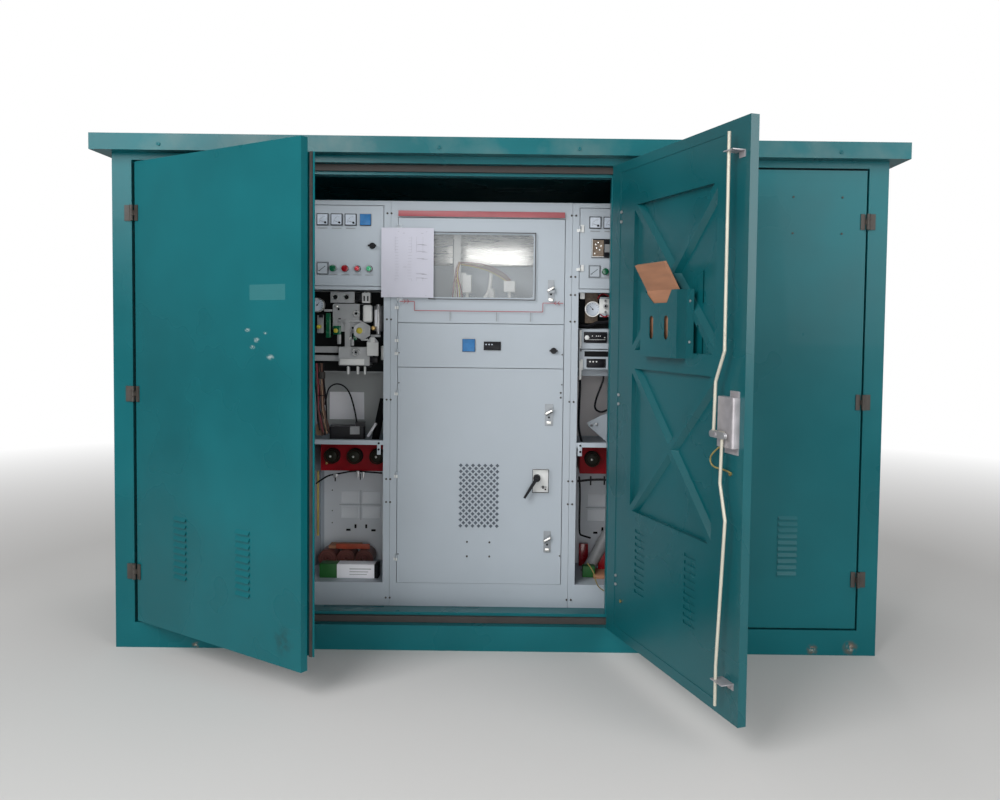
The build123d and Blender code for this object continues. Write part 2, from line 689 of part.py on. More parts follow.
diamond = Rot(0, 0, 45) * Rectangle(GRILLE_HOLE / 2**0.5, GRILLE_HOLE / 2**0.5)
field = Rectangle(GRILLE[1] - GRILLE[0], GRILLE[3] - GRILLE[2])
field -= [loc * diamond for loc in GridLocations(GRILLE_PITCH, GRILLE_PITCH, 7, 11)]
field -= [loc * diamond for loc in GridLocations(GRILLE_PITCH, GRILLE_PITCH, 6, 10)]
grille = extrude(Plane(origin=(gx, FACE + CSHEET, gz), x_dir=(1, 0, 0), z_dir=(0, -1, 0)) * field, CSHEET)
node("door_grille", grille)

# panels with the instruments: hinged on the left
PLX0, PLX1 = LX0 + PLAY / 2 + UP_W + DOOR_PLAY, LX1 - PLAY / 2 - UP_W - DOOR_PLAY
PRX0, PRX1 = RX0 + PLAY / 2 + UP_W + DOOR_PLAY, RX1 - PLAY / 2 - UP_W - DOOR_PLAY
LPIVOT = (PLX0 - DOOR_PLAY / 2, FACE - CPIN_OUT)
RPIVOT = (PRX0 - DOOR_PLAY / 2, FACE - CPIN_OUT)
P_HINGES = (PANEL_TOP - 85, PANEL_Z0 + 85)
plf, plm = cubicle_hinges(LPIVOT, P_HINGES)
prf, prm = cubicle_hinges(RPIVOT, P_HINGES)
node("panel_left", tray(PLX0, PLX1, PANEL_Z0, PANEL_TOP) + plm)
node("panel_right", tray(PRX0, PRX1, PANEL_Z0, PANEL_TOP) + prm)
node("cubicle_hinges", *(wf + sf + lf + plf + prf))

# rotary handle on the lower door: grip turns on a fixed hollow boss
LEVER = (155, 652)
LEVER_BORE = 6
LEVER_TIP = (104 - 155, 569 - 652)
plate = block(137, 204, FACE - 3, FACE, 589, 686) + rod(LEVER[0], FACE - 15, LEVER[1], 14, 13, "y")
plate -= rod(LEVER[0], FACE - 16, LEVER[1], LEVER_BORE + 0.2, 12, "y")
node("handle_plate", plate)
hub = rod(LEVER[0], FACE - 38, LEVER[1], 15, 22, "y")
grip = loft(
    [
        Plane(
            origin=(LEVER[0], FACE - 30, LEVER[1]), z_dir=(LEVER_TIP[0], 0, LEVER_TIP[1])
        ) * Rectangle(14, 22),
        Plane(
            origin=(LEVER[0] + LEVER_TIP[0], FACE - 32, LEVER[1] + LEVER_TIP[1]),
            z_dir=(LEVER_TIP[0], 0, LEVER_TIP[1]),
        ) * Rectangle(9, 13),
    ]
)
node("lever", hub + grip + rod(LEVER[0], FACE - 17, LEVER[1], LEVER_BORE, 11, "y"))

# latches: a plate with a turned handle
def latch(x0, x1, z0, z1, turn, knob_at=0.35):
    w, h = x1 - x0, z1 - z0
    plate = block(x0, x1, FACE - 3, FACE, z0, z1)
    plate = fillet(plate.edges().filter_by(Axis.Y), 3)
    cx, cz = (x0 + x1) / 2, z1 - h * knob_at
    grip = Pos(cx, FACE - 2, cz) * Rot(0, turn, 0) * (
        rod(0, -9, 0, w * 0.28, 9, "y") + block(-w * 0.62, w * 0.62, -15, -8, -5, 5)
    )
    return plate + grip


def wing_knob(x, z, r=17):
    k = rod(x, FACE - 6, z, r * 0.75, 6, "y") + rod(x, FACE - 16, z, r * 0.5, 11, "y")
    return k + block(x - r, x + r, FACE - 18, FACE - 8, z - 3.5, z + 3.5)


def meter(x0, size=48, z1=1736, knob=True):
    """Square panel meter: bezel standing proud with a sunk dial."""
    z0, rim, proud = z1 - size, 4, 7
    m = (
        block(x0, x0 + size, FACE - proud, FACE, z0, z1)
        - block(x0 + rim, x0 + size - rim, FACE - proud - 1, FACE - proud + 3, z0 + rim, z1 - rim)
    )
    if knob:
        m += rod(x0 + size * 0.72, FACE - proud, z0 + size * 0.25, 4, 4, "y")
    return m


def plate_frame(x0, x1, z0, z1, rim, proud):
    """Raised frame around a flat field, for displays and mimic squares."""
    p = block(x0, x1, FACE - proud, FACE, z0, z1)
    return p - block(x0 + rim, x1 - rim, FACE - proud - 1, FACE - proud / 2, z0 + rim, z1 - rim)


def button(x, z, r=12, length=11):
    return rod(x, FACE - 3, z, r + 2, 3, "y") + rod(x, FACE - length, z, r, length - 2, "y")


METERS = (38, 96, 154)
METER_Z1 = 1736
BUTTONS = (106, 156, 206, 255)
BUTTON_Z = 1511
MIMIC_AT = (38, 86)


def instruments(x0, extra):
    out = [meter(x0 + d) for d in METERS]
    out.append(plate_frame(x0 + 216, x0 + 262, METER_Z1 - 48, METER_Z1, 3, 6))
    out.append(plate_frame(x0 + MIMIC_AT[0], x0 + MIMIC_AT[1], BUTTON_Z - 26, BUTTON_Z + 26, 3, 4))
    return out + [button(x0 + d, BUTTON_Z) for d in BUTTONS] + extra


node("instruments_left", *instruments(PLX0, [wing_knob(PLX1 - 45, 1606)]))
RELAY = (PRX0 + 48, PRX0 + 182, 1568, 1645)
relay = (
    block(RELAY[0], RELAY[1], FACE - 6, FACE, RELAY[2], RELAY[3])
    - block(RELAY[0] + 5, RELAY[1] - 5, FACE - 7, FACE - 3, RELAY[2] + 5, RELAY[3] - 5)
)
node("instruments_right", *instruments(PRX0, [relay, wing_knob(PRX1 - 45, 1606)]))
node("window_latch", latch(191, 217, 1387, 1474, 0, 0.55))
node("lower_latches", latch(185, 220, 867, 959, -35), latch(186, 216, 334, 425, -35))
strip_display = plate_frame(-161, -108, 1173, 1226, 4, 6)
strip_window = plate_frame(-72, -1, 1180, 1216, 4, 6)
node("strip_fittings", strip_display, strip_window, wing_knob(218, 1181))

# Inside the side cubicles
INNER_BACK = 360
MECH_BACK = 190
MECH_FRONT = 110


def at_depth(x0, x1, d0, d1, z0, z1):
    return block(x0, x1, FACE + d0, FACE + d1, z0, z1)


def peg(x, d0, z, r, length):
    """Round piece that points to the front, its front end at depth d0."""
    return rod(x, FACE + d0, z, r, length, "y")


def rounded(solid, axis, r):
    return fillet(solid.edges().filter_by(axis), r)


# left cubicle: spring mechanism on its back plate
lx = LX0 + PLAY / 2
mech = at_depth(lx + 8, LX1 - 34, MECH_BACK, MECH_BACK + 3, 1072, 1424)
mech += at_depth(lx + 8, lx + 11, MECH_BACK + 2, INNER_BACK - 2, 1072, 1424)
mech += at_depth(LX1 - 37, LX1 - 34, MECH_BACK + 2, INNER_BACK - 2, 1072, 1424)
big = rounded(at_depth(-724, -588, MECH_FRONT, MECH_FRONT + 4, 1249, 1368), Axis.Y, 8)
big -= peg(-700, MECH_FRONT - 1, 1345, 5, 6)
big -= peg(-640, MECH_FRONT - 1, 1266, 5, 6)
big -= peg(-593, MECH_FRONT - 1, 1252, 9, 6)
for x, z in ((-712, 1356), (-600, 1356), (-712, 1261), (-620, 1261)):
    big += peg(x, MECH_FRONT + 3, z, 5, MECH_BACK - MECH_FRONT - 2)
boss = peg(-622, MECH_FRONT - 14, 1327, 15, 15) - peg(-622, MECH_FRONT - 15, 1327, 6, 9)
two_hole = at_depth(-732, -630, MECH_FRONT - 10, MECH_FRONT - 6, 1372, 1419)
for x in (-712, -664):
    two_hole -= peg(x, MECH_FRONT - 11, 1396, 11, 6)
for x in (-688, -636):
    two_hole += peg(x, MECH_FRONT - 7, 1380, 4, MECH_BACK - MECH_FRONT + 8)
counter = at_depth(-624, -582, MECH_FRONT - 6, MECH_BACK, 1378, 1412)
flat = at_depth(-671, -647, MECH_FRONT - 8, MECH_FRONT - 4, 1185, 1304)
flat += (
    peg(-659, MECH_FRONT - 5, 1292, 5, MECH_BACK - MECH_FRONT + 6)
    + peg(-659, MECH_FRONT - 12, 1292, 9, 5)
)
cam = Pos(-593, FACE + MECH_FRONT - 24, 1252) * Rot(0, 28, 0) * Box(
    50, 5, 50, align=(Align.CENTER, Align.MIN, Align.CENTER)
)
cam += (
    peg(-593, MECH_FRONT - 20, 1252, 8, MECH_BACK - MECH_FRONT + 20)
    + peg(-593, MECH_FRONT - 32, 1252, 11, 9)
)
low_case = rounded(at_depth(-698, -566, MECH_FRONT - 4, MECH_BACK + 1, 1105, 1184), Axis.Y, 5)
low_case -= at_depth(-690, -574, MECH_FRONT + 2, MECH_BACK - 2, 1113, 1176)
low_boss = peg(-622, MECH_FRONT - 20, 1162, 17, 17) - peg(-622, MECH_FRONT - 21, 1162, 8, 12)
low_pins = (
    rod(-661, FACE + MECH_FRONT + 20, 1068, 7, 38)
    + rod(-620, FACE + MECH_FRONT + 20, 1068, 7, 38)
    + rod(-589, FACE + MECH_FRONT + 20, 1068, 5, 38)
)
house = extrude(
    Plane(origin=(0, FACE + MECH_FRONT - 12, 0), x_dir=(1, 0, 0), z_dir=(0, -1, 0))
    * Polygon(
        (-576, 1147), (-526, 1147), (-526, 1205), (-544, 1228), (-560, 1228), (-576, 1205), align=None
    ),
    4,
)
house -= peg(-551, MECH_FRONT - 20, 1196, 8, 10)
house += peg(-551, MECH_FRONT - 13, 1162, 5, MECH_BACK - MECH_FRONT + 14)
rails = (
    at_depth(lx + 10, -706, MECH_FRONT + 30, MECH_BACK + 1, 1158, 1184)
    + at_depth(lx + 10, -706, MECH_FRONT + 30, MECH_BACK + 1, 1122, 1146)
)
node(
    "mechanism_left",
    mech + big + boss + two_hole + flat + low_case + low_boss + low_pins + house + rails + cam,
)
cylinder = (
    rod(-533, FACE + MECH_FRONT + 18, 1253, 17, 107)
    + rod(-533, FACE + MECH_FRONT + 18, 1240, 9, 14)
    + rod(-533, FACE + MECH_FRONT + 18, 1359, 10, 8)
)
cylinder += at_depth(-541, -525, MECH_FRONT + 30, MECH_BACK, 1290, 1330)
GAUGE_R = 29


def gauge(x, z, d=MECH_FRONT - 20, r=GAUGE_R, back=MECH_BACK):
    g = peg(x, d, z, r, 26) - peg(x, d - 1, z, r - 3, 4)
    return g + peg(x, d + 25, z, 8, back - d - 25)


node("mechanism_cylinder", cylinder)
node("gauges", gauge(-786, 1361), gauge(RX0 + 92, 1357, 70, 32, 118))

# right cubicle: relay shelf fronts
rx0 = RX0 + PLAY / 2
rack = at_depth(rx0 + 8, RX1 - 8, 118, 121, 1072, 1424)
rack += (
    at_depth(rx0 + 8, rx0 + 11, 120, INNER_BACK - 2, 1072, 1424)
    + at_depth(RX1 - 11, RX1 - 8, 120, INNER_BACK - 2, 1072, 1424)
)
front_a = (
    at_depth(RX0 + 36, RX1 - 40, 50, 120, 1190, 1272)
    - at_depth(RX0 + 39, RX1 - 43, 53, 118, 1193, 1269)
)
front_b = (
    at_depth(RX0 + 36, RX1 - 40, 50, 120, 1104, 1186)
    - at_depth(RX0 + 39, RX1 - 43, 53, 118, 1107, 1183)
)
front_a -= at_depth(RX0 + 62, RX0 + 152, 49, 54, 1214, 1258)
front_b -= (
    at_depth(RX0 + 62, RX0 + 152, 49, 54, 1158, 1178)
    + at_depth(RX0 + 70, RX0 + 150, 49, 54, 1110, 1148)
)
hub_plate = at_depth(RX0 + 122, RX0 + 190, 60, 64, 1325, 1408)
hub_plate -= peg(RX0 + 145, 59, 1368, 11, 6)
for x, z in ((RX0 + 130, 1335), (RX0 + 182, 1335), (RX0 + 130, 1398), (RX0 + 182, 1398)):
    hub_plate += peg(x, 63, z, 4, 56)
node("relay_rack_right", rack + front_a + front_b + hub_plate)
node(
    "relay_modules",
    counter,
    at_depth(RX0 + 64, RX0 + 150, 46, 117, 1216, 1256),
    at_depth(RX0 + 72, RX0 + 148, 46, 117, 1112, 1146),
)
gusset = extrude(
    Plane(origin=(0, FACE + 150, 0), x_dir=(1, 0, 0), z_dir=(0, -1, 0))
    * Polygon(
        (RX0 + 80, 868),
        (RX0 + 88, 852),
        (RX0 + 170, 781),
        (RX0 + 330, 781),
        (RX0 + 330, 920),
        (RX0 + 180, 920),
        align=None,
    ),
    3,
)
gusset -= peg(RX0 + 100, 140, 856, 6, 12)
gusset += at_depth(RX0 + 200, RX0 + 330, 147, 170, 781, 784)
node("gusset_right", gusset)

# cable compartments: red bushing box under the shelf in both side cubicles
BUSH_BOX = (51, 343, 150, INNER_BACK - 2, 645, SHELF_Z - 1)
BUSHINGS = (104, 202, 300)
BUSH_Z = 712
boxes, bushings = [], []
for x0 in (LX0, RX0):
    b = at_depth(x0 + BUSH_BOX[0], x0 + BUSH_BOX[1], *BUSH_BOX[2:])
    b -= at_depth(
        x0 + BUSH_BOX[0] + 3,
        x0 + BUSH_BOX[1] - 3,
        BUSH_BOX[2] + 3,
        BUSH_BOX[3] + 1,
        BUSH_BOX[4] + 3,
        BUSH_BOX[5] - 3,
    )
    for d in BUSHINGS:
        b -= peg(x0 + d, BUSH_BOX[2] - 1, BUSH_Z, 20, 6)
        sleeve = Pos(x0 + d, FACE + BUSH_BOX[2], BUSH_Z) * Rot(90, 0, 0) * Cone(
            34, 24, 34, align=(Align.CENTER, Align.CENTER, Align.MIN)
        )
        sleeve -= peg(x0 + d, BUSH_BOX[2] - 35, BUSH_Z, 15, 12)
        bushings.append(sleeve + peg(x0 + d, BUSH_BOX[2] - 1, BUSH_Z, 19.5, 60))
    boxes.append(b)
node("bushing_boxes", *boxes)
node("bushings", *bushings)

# loose equipment kept in the cable bays
pack_ = Pos(-668, FACE + 150, SHELF_Z + CSHEET) * Rot(0, 0, 8) * rounded(
    Box(148, 86, 62, align=(Align.CENTER, Align.CENTER, Align.MIN)), Axis.Z, 8
)
pack_ += Pos(-612, FACE + 152, SHELF_Z + CSHEET + 60) * Rot(0, 0, 8) * Box(
    40, 60, 16, align=(Align.CENTER, Align.CENTER, Align.MIN)
)
node("control_pack", pack_)
BAY_FLOOR = FLOOR + SKIRT_H - 2
ROLL_R = 40
rolls = [
    rod(x, FACE + 230, BAY_FLOOR + ROLL_R, ROLL_R, 90, "y") - rod(
        x, FACE + 229, BAY_FLOOR + ROLL_R, 8, 12, "y"
    )
    for x in (-774, -692, -610)
]
node("tape_rolls", *rolls)
stored_strip = at_depth(-772, -632, 250, 310, BAY_FLOOR + 2 * ROLL_R, BAY_FLOOR + 2 * ROLL_R + 14)
node("carton", at_depth(-768, -520, 62, 122, BAY_FLOOR, BAY_FLOOR + 58), stored_strip)

# behind the window: duct, conduit and two terminal boxes
WB = 170
duct = (
    at_depth(-214, -186, WB, WB + 30, WINDOW_Z0 + CSHEET, CUBICLE_TOP - CSHEET)
    - at_depth(-211, -189, WB + 3, WB + 31, WINDOW_Z0, CUBICLE_TOP)
)
tubing = rod(-52, FACE + WB + 40, WINDOW_Z0 + CSHEET, 14, 150)
terminal = (
    at_depth(2, 50, WB, WB + 60, 1430, 1476)
    + at_depth(20, 32, WB + 20, WB + 32, WINDOW_Z0 + CSHEET, 1431)
)
small = (
    at_depth(-176, -140, WB, WB + 50, 1425, 1500)
    + at_depth(-164, -152, WB + 20, WB + 32, WINDOW_Z0 + CSHEET, 1426)
)
node("window_fittings", duct, tubing, terminal, small)

# Files
os.makedirs("parts", exist_ok=True)
for name, shape in parts.items():
    export_step(shape, f"parts/{name}.step")
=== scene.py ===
"""Outdoor switchgear kiosk: finishes, fittings and studio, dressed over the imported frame."""

import math

import bmesh
import bpy
from bpy.props import FloatProperty, FloatVectorProperty, PointerProperty
from mathutils import Matrix, Vector


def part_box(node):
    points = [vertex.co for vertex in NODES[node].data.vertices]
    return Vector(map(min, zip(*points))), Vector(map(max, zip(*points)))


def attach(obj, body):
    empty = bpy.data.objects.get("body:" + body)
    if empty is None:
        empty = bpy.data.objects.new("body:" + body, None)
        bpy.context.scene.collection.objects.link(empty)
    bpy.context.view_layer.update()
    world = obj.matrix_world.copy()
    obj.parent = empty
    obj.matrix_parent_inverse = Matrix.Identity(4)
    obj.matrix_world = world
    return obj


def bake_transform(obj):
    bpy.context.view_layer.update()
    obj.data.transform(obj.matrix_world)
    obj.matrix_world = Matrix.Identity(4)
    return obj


bl_info = {
    "name": "Switchgear kiosk dressing",
    "version": (1, 0, 0),
    "blender": (4, 5, 0),
    "location": "View3D > Sidebar > Kiosk",
    "description": "Finishes, fittings and studio for an outdoor gas insulated switchgear kiosk",
    "category": "Add Mesh",
}

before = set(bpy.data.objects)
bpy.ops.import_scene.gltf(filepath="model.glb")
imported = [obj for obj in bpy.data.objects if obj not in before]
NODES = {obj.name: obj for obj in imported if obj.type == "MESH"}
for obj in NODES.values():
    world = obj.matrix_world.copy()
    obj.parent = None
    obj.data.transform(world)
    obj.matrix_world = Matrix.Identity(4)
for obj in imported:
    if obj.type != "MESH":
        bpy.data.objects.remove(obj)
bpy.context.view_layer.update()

# Sizes below are in millimetres, in the frame of the CAD, unless their name says otherwise.
FACE = -400.0
LEFT_PANEL_X = -804.0
RIGHT_PANEL_X = 321.0
STRIPE_X = (-429.0, 259.0)
METER_X = (38.0, 96.0, 154.0)
METER_W = 48.0
BUTTON_X = (106.0, 156.0, 206.0, 255.0)
RIM_SCREW_RISE = 22.0
SHEET_MIDDLE_X = -389.0
SHEET_HALF_WIDTH = 108.0
DOOR_FRONT = -650.0
# Painted shade: the middle door takes the kiosk's paint darkened by this factor.
MIDDLE_DOOR_PAINTED_SHADE = 0.8
CAMERA_PLACE = (144.55, -4173.44, 1276.43)
CAMERA_SHIFT = (-0.03616, -0.03086)
CAMERA_TURNS = ((-0.03, "Z"), (-2.62, "X"), (-0.7, "Y"))
LAMP_AIM = (0.1, 0, 1.1)
FLOOR_FADE = (2.6, 7.0)
CLEAR_SHEET_ALPHA = 0.14
SHARP_ANGLE = 40.0
RIGHT, FRONT, BACK, UP = (Vector(v) for v in ((1, 0, 0), (0, -1, 0), (0, 1, 0), (0, 0, 1)))
ON_KIOSK = Matrix.Identity(4)


def metres(*values):
    """The values in metres, as a vector."""
    return Vector(values) / 1000


def door_front():
    """How far forward the window door's face is."""
    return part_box("window_door")[0].y * 1000


def door_place(hinge_x, hinge_y, edge_x, turn):
    """Where a door's own x, depth and height land with the door as it stands open."""
    pin = Matrix.Translation(metres(hinge_x, hinge_y, 0))
    swing = Matrix.Rotation(math.radians(turn), 4, "Z")
    return pin @ swing @ pin.inverted() @ Matrix.Translation(metres(edge_x, DOOR_FRONT, 0))


ON_LEFT_DOOR = door_place(-1416, -662, -1412, -33.9)
ON_MIDDLE_DOOR = door_place(467, -662, 463, 110)
ON_RIGHT_DOOR = door_place(1416, -662, 1412, 0)


# Modelling


def clear_selection():
    """Leaves nothing selected."""
    bpy.ops.object.select_all(action="DESELECT")


def only(*pieces):
    """Leaves just these pieces selected, the first of them active."""
    clear_selection()
    for piece in pieces:
        piece.select_set(True)
    bpy.context.view_layer.objects.active = pieces[0]


def named(name):
    """The object that was just added, under its own name."""
    piece = bpy.context.object
    piece.name = name
    piece.data.name = name
    return piece


def frozen(name):
    """The object that was just added, named, with its place in its mesh."""
    piece = named(name)
    bpy.ops.object.transform_apply()
    return piece


def turned(piece, centre, degrees, axis="Y"):
    """Turns a piece that was made about the origin, and moves it to its centre."""
    piece.matrix_world = Matrix.Translation(metres(*centre)) @ Matrix.Rotation(math.radians(degrees), 4, axis)
    return piece


def inset(border, depth=0.0):
    """Draws the selected faces in by a border and pushes them out by a depth."""
    bpy.ops.mesh.inset(thickness=border / 1000, depth=depth / 1000)


def block(name, low, high):
    """A block between two corners."""
    low, high = metres(*low), metres(*high)
    clear_selection()
    bpy.ops.mesh.primitive_cube_add(size=1, location=(low + high) / 2, scale=high - low)
    return frozen(name)


def rod(name, centre, radius, length, along=BACK, sides=24):
    """A round bar about its centre."""
    turn = UP.rotation_difference(along).to_euler()
    clear_selection()
    bpy.ops.mesh.primitive_cylinder_add(
        vertices=sides, radius=radius / 1000, depth=length / 1000, location=metres(*centre), rotation=turn
    )
    return frozen(name)


def ring(name, centre, radius, thickness, along=BACK, sides=32, minor=10):
    """A round ring."""
    turn = UP.rotation_difference(along).to_euler()
    clear_selection()
    bpy.ops.mesh.primitive_torus_add(
        location=metres(*centre), rotation=turn, major_segments=sides, minor_segments=minor,
        major_radius=radius / 1000, minor_radius=thickness / 1000,
    )
    return frozen(name)


def in_edit(piece, facing, work):
    """Selects the faces that look one way, all of them for None, and works on them in edit mode."""
    only(piece)
    bpy.ops.object.mode_set(mode="EDIT")
    bpy.ops.mesh.select_mode(type="FACE")
    bpy.ops.mesh.select_all(action="SELECT" if facing is None else "DESELECT")
    if facing is not None:
        mesh = bmesh.from_edit_mesh(piece.data)
        for face in mesh.faces:
            face.select_set(face.normal.dot(facing) > 0.9)
        bmesh.update_edit_mesh(piece.data)
    work()
    bpy.ops.object.mode_set(mode="OBJECT")


def rounded(piece, size, steps=2):
    """Rounds the sharp edges of a piece."""
    only(piece)
    bevel = piece.modifiers.new("Rounding", "BEVEL")
    bevel.width = size / 1000
    bevel.segments = steps
    bevel.limit_method = "ANGLE"
    bevel.angle_limit = math.radians(SHARP_ANGLE)
    bpy.ops.object.modifier_apply(modifier=bevel.name)
    return piece


def panelled(piece, facing, border, depth):
    """Sinks the middle of one side inside a border, or raises it for a depth above zero."""
    in_edit(piece, facing, lambda: (
        inset(border), inset(abs(depth) / 4, depth),
    ))
    return piece


def plate(name, finish, body, low, high, border, depth, soft=0.0):
    """A block whose front is sunk or raised inside a border, in its place and with its finish."""
    piece = panelled(block(name, low, high), FRONT, border, depth)
    return settle(rounded(piece, soft) if soft else piece, finish, body)


def domed(piece, facing, border, rise):
    """Draws the end of a round piece in and out in two steps, as a button's cap or a bolt's head."""
    in_edit(piece, facing, lambda: (
        inset(border, rise / 2), inset(border / 0.7, rise / 2.6),
    ))
    return piece


def copies(piece, places):
    """Copies a piece to each further place, in millimetres from the first, and joins them."""
    family = [piece]
    for place in places[1:]:
        twin = piece.copy()
        twin.data = piece.data.copy()
        bpy.context.collection.objects.link(twin)
        twin.matrix_world = Matrix.Translation(metres(*place) - metres(*places[0])) @ piece.matrix_world
        family.append(twin)
    only(*family)
    bpy.ops.object.join()
    return bpy.context.object


def tiles(name, look, sides, soft=0.8, body="kiosk"):
    """Small blocks as one piece, each by its left, right, low and high side and its two depths."""
    pieces = []
    for x0, x1, z0, z1, near, far in sides:
        pieces.append(block(name, (x0, FACE + near, z0), (x1, FACE + far, z1)))
        if soft:
            rounded(pieces[-1], soft)
    return settle(joined(name, *pieces), look, body)


def studs(name, look, spots, body="kiosk", cap=0.25):
    """Short round pieces that face the front, each by its x, height, depth, radius and length."""
    pieces = []
    for x, z, near, radius, length in spots:
        peg = rod(name, (x, FACE + near + length / 2, z), radius, length, FRONT, 28)
        pieces.append(domed(peg, FRONT, radius * 0.16, radius * cap) if cap else peg)
    return settle(joined(name, *pieces), look, body)


def joined(name, *pieces):
    """Joins pieces into one, under its own name."""
    only(*pieces)
    if len(pieces) > 1:
        bpy.ops.object.join()
    return frozen(name)


def wire(name, points, radius):
    """A wire along a smooth line through control points, as a mesh."""
    curve = bpy.data.curves.new(name, "CURVE")
    curve.dimensions = "3D"
    curve.bevel_depth = radius / 1000
    curve.bevel_resolution = 2
    curve.resolution_u = 6
    curve.use_fill_caps = True
    line = curve.splines.new("NURBS")
    line.points.add(len(points) - 1)
    for point, spot in zip(line.points, points):
        point.co = (*metres(*spot), 1)
    line.order_u = 3
    line.use_endpoint_u = True
    piece = bpy.data.objects.new(name, curve)
    bpy.context.collection.objects.link(piece)
    only(piece)
    bpy.ops.object.convert(target="MESH")
    return named(name)


def settle(piece, finish, body="kiosk", place=ON_KIOSK, smooth=35):
    """Puts a finished piece in its place, with its finish, riding on its body."""
    piece.matrix_world = place @ piece.matrix_world
    only(piece)
    bpy.ops.object.transform_apply()
    if smooth:
        bpy.ops.object.shade_smooth_by_angle(angle=math.radians(smooth))
    piece.data.materials.clear()
    piece.data.materials.append(FINISHES[finish])
    if body is not None:
        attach(piece, body)
    return piece


# Finishes

FINISHES = {}
SKIN_DEPTH = 0.0006


def begin_finish(name):
    """A new material and its shader, with a Texture Coordinate ready to read the piece's own place."""
    material = bpy.data.materials.new(name)
    material.use_nodes = True
    tree = material.node_tree
    tree.nodes.clear()
    out = add(tree, "OutputMaterial")
    shader = add(tree, "BsdfPrincipled", name="Shader")
    tree.links.new(shader.outputs["BSDF"], out.inputs["Surface"])
    place = add(tree, "TexCoord", name="Place")
    FINISHES[name] = material
    return tree, shader, place.outputs["Object"]


def add(tree, kind, **settings):
    """A node with its settings and the defaults of its sockets."""
    node = tree.nodes.new("ShaderNode" + kind)
    for key, value in settings.items():
        if hasattr(node, key):
            setattr(node, key, value)
        else:
            node.inputs[key.replace("_", " ").title()].default_value = value
    return node


def grain(tree, place, scale, detail=3.0, stretch=None):
    """Noise of a given fineness, stretched along an axis where a finish is brushed."""
    if stretch:
        mapping = add(tree, "Mapping")
        mapping.inputs["Scale"].default_value = stretch
        tree.links.new(place, mapping.inputs["Vector"])
        place = mapping.outputs["Vector"]
    noise = add(tree, "TexNoise", scale=scale, detail=detail)
    tree.links.new(place, noise.inputs["Vector"])
    return noise.outputs["Fac"]


def spread(tree, value, low, high, start=0.3, end=0.7):
    """Noise stretched over a range of numbers."""
    node = add(tree, "MapRange")
    for socket, number in zip(("From Min", "From Max", "To Min", "To Max"), (start, end, low, high)):
        node.inputs[socket].default_value = number
    tree.links.new(value, node.inputs["Value"])
    return node.outputs["Result"]


def blend_colours(tree, mask, first, second):
    """Two colours, each a colour or a socket, mixed by a mask."""
    mix = add(tree, "Mix", data_type="RGBA")
    for index, colour in ((6, first), (7, second)):
        if isinstance(colour, bpy.types.NodeSocket):
            tree.links.new(colour, mix.inputs[index])
        else:
            mix.inputs[index].default_value = (*colour[:3], 1)
    tree.links.new(mask, mix.inputs[0])
    return mix.outputs[2]


def finish(name, colour, rough=(0.35, 0.5), metal=0.0, shade=0.1, cloud=3.0, bump=0.1, pores=500.0,
           stretch=None, coat=0.0, shine=0.5):
    """A finish whose colour clouds a little, with uneven gloss and a fine skin."""
    tree, shader, place = begin_finish(name)
    clouds = grain(tree, place, cloud, stretch=stretch)
    darker = [channel * (1 - shade) for channel in colour]
    lighter = [min(channel * (1 + shade), 1.0) for channel in colour]
    tint = blend_colours(tree, spread(tree, clouds, 0, 1), darker, lighter)
    tree.links.new(tint, shader.inputs["Base Color"])
    tree.links.new(spread(tree, clouds, *rough), shader.inputs["Roughness"])
    skin = add(tree, "Bump", strength=bump, distance=SKIN_DEPTH)
    tree.links.new(grain(tree, place, pores, stretch=stretch), skin.inputs["Height"])
    tree.links.new(skin.outputs["Normal"], shader.inputs["Normal"])
    shader.inputs["Metallic"].default_value = metal
    shader.inputs["Coat Weight"].default_value = coat
    shader.inputs["Specular IOR Level"].default_value = shine


def worn_copy(finish_name, name):
    """A copy of a finish for one piece that has marks of its own."""
    material = FINISHES[finish_name].copy()
    material.name = name
    FINISHES[name] = material
    tree = material.node_tree
    return tree, tree.nodes["Shader"], tree.nodes["Place"].outputs["Object"]


def mark(tree, shader, mask, colour):
    """Lays a colour over the finish where the mask is white."""
    under = shader.inputs["Base Color"].links[0].from_socket
    tree.links.new(blend_colours(tree, mask, under, colour), shader.inputs["Base Color"])


def times(tree, first, second):
    """One mask inside another."""
    node = add(tree, "Math", operation="MULTIPLY")
    for index, value in enumerate((first, second)):
        if isinstance(value, bpy.types.NodeSocket):
            tree.links.new(value, node.inputs[index])
        else:
            node.inputs[index].default_value = value
    return node.outputs[0]


def round_mask(tree, place, centre, radius, long=(1, 1, 1)):
    """A soft spot about a point, in millimetres, its edge broken up by noise."""
    away = add(tree, "VectorMath", operation="SUBTRACT")
    away.inputs[1].default_value = metres(*centre)
    tree.links.new(place, away.inputs[0])
    stretched = add(tree, "VectorMath", operation="MULTIPLY")
    stretched.inputs[1].default_value = long
    tree.links.new(away.outputs[0], stretched.inputs[0])
    length = add(tree, "VectorMath", operation="LENGTH")
    tree.links.new(stretched.outputs[0], length.inputs[0])
    inside = spread(tree, length.outputs["Value"], 1, 0, radius * 0.0003, radius * 0.001)
    return times(tree, inside, spread(tree, grain(tree, place, 1800 / radius, 5.0), 0, 1, 0.42, 0.55))


def box_mask(tree, place, low, high):
    """One inside two heights and two widths, in millimetres, and none outside."""
    parts = add(tree, "SeparateXYZ")
    tree.links.new(place, parts.inputs[0])
    result = None
    for axis in (0, 2):
        node = add(tree, "Math", operation="COMPARE")
        node.inputs[1].default_value = (low[axis] + high[axis]) / 2000
        node.inputs[2].default_value = (high[axis] - low[axis]) / 2000
        tree.links.new(parts.outputs[axis], node.inputs[0])
        result = node.outputs[0] if result is None else times(tree, result, node.outputs[0])
    return result


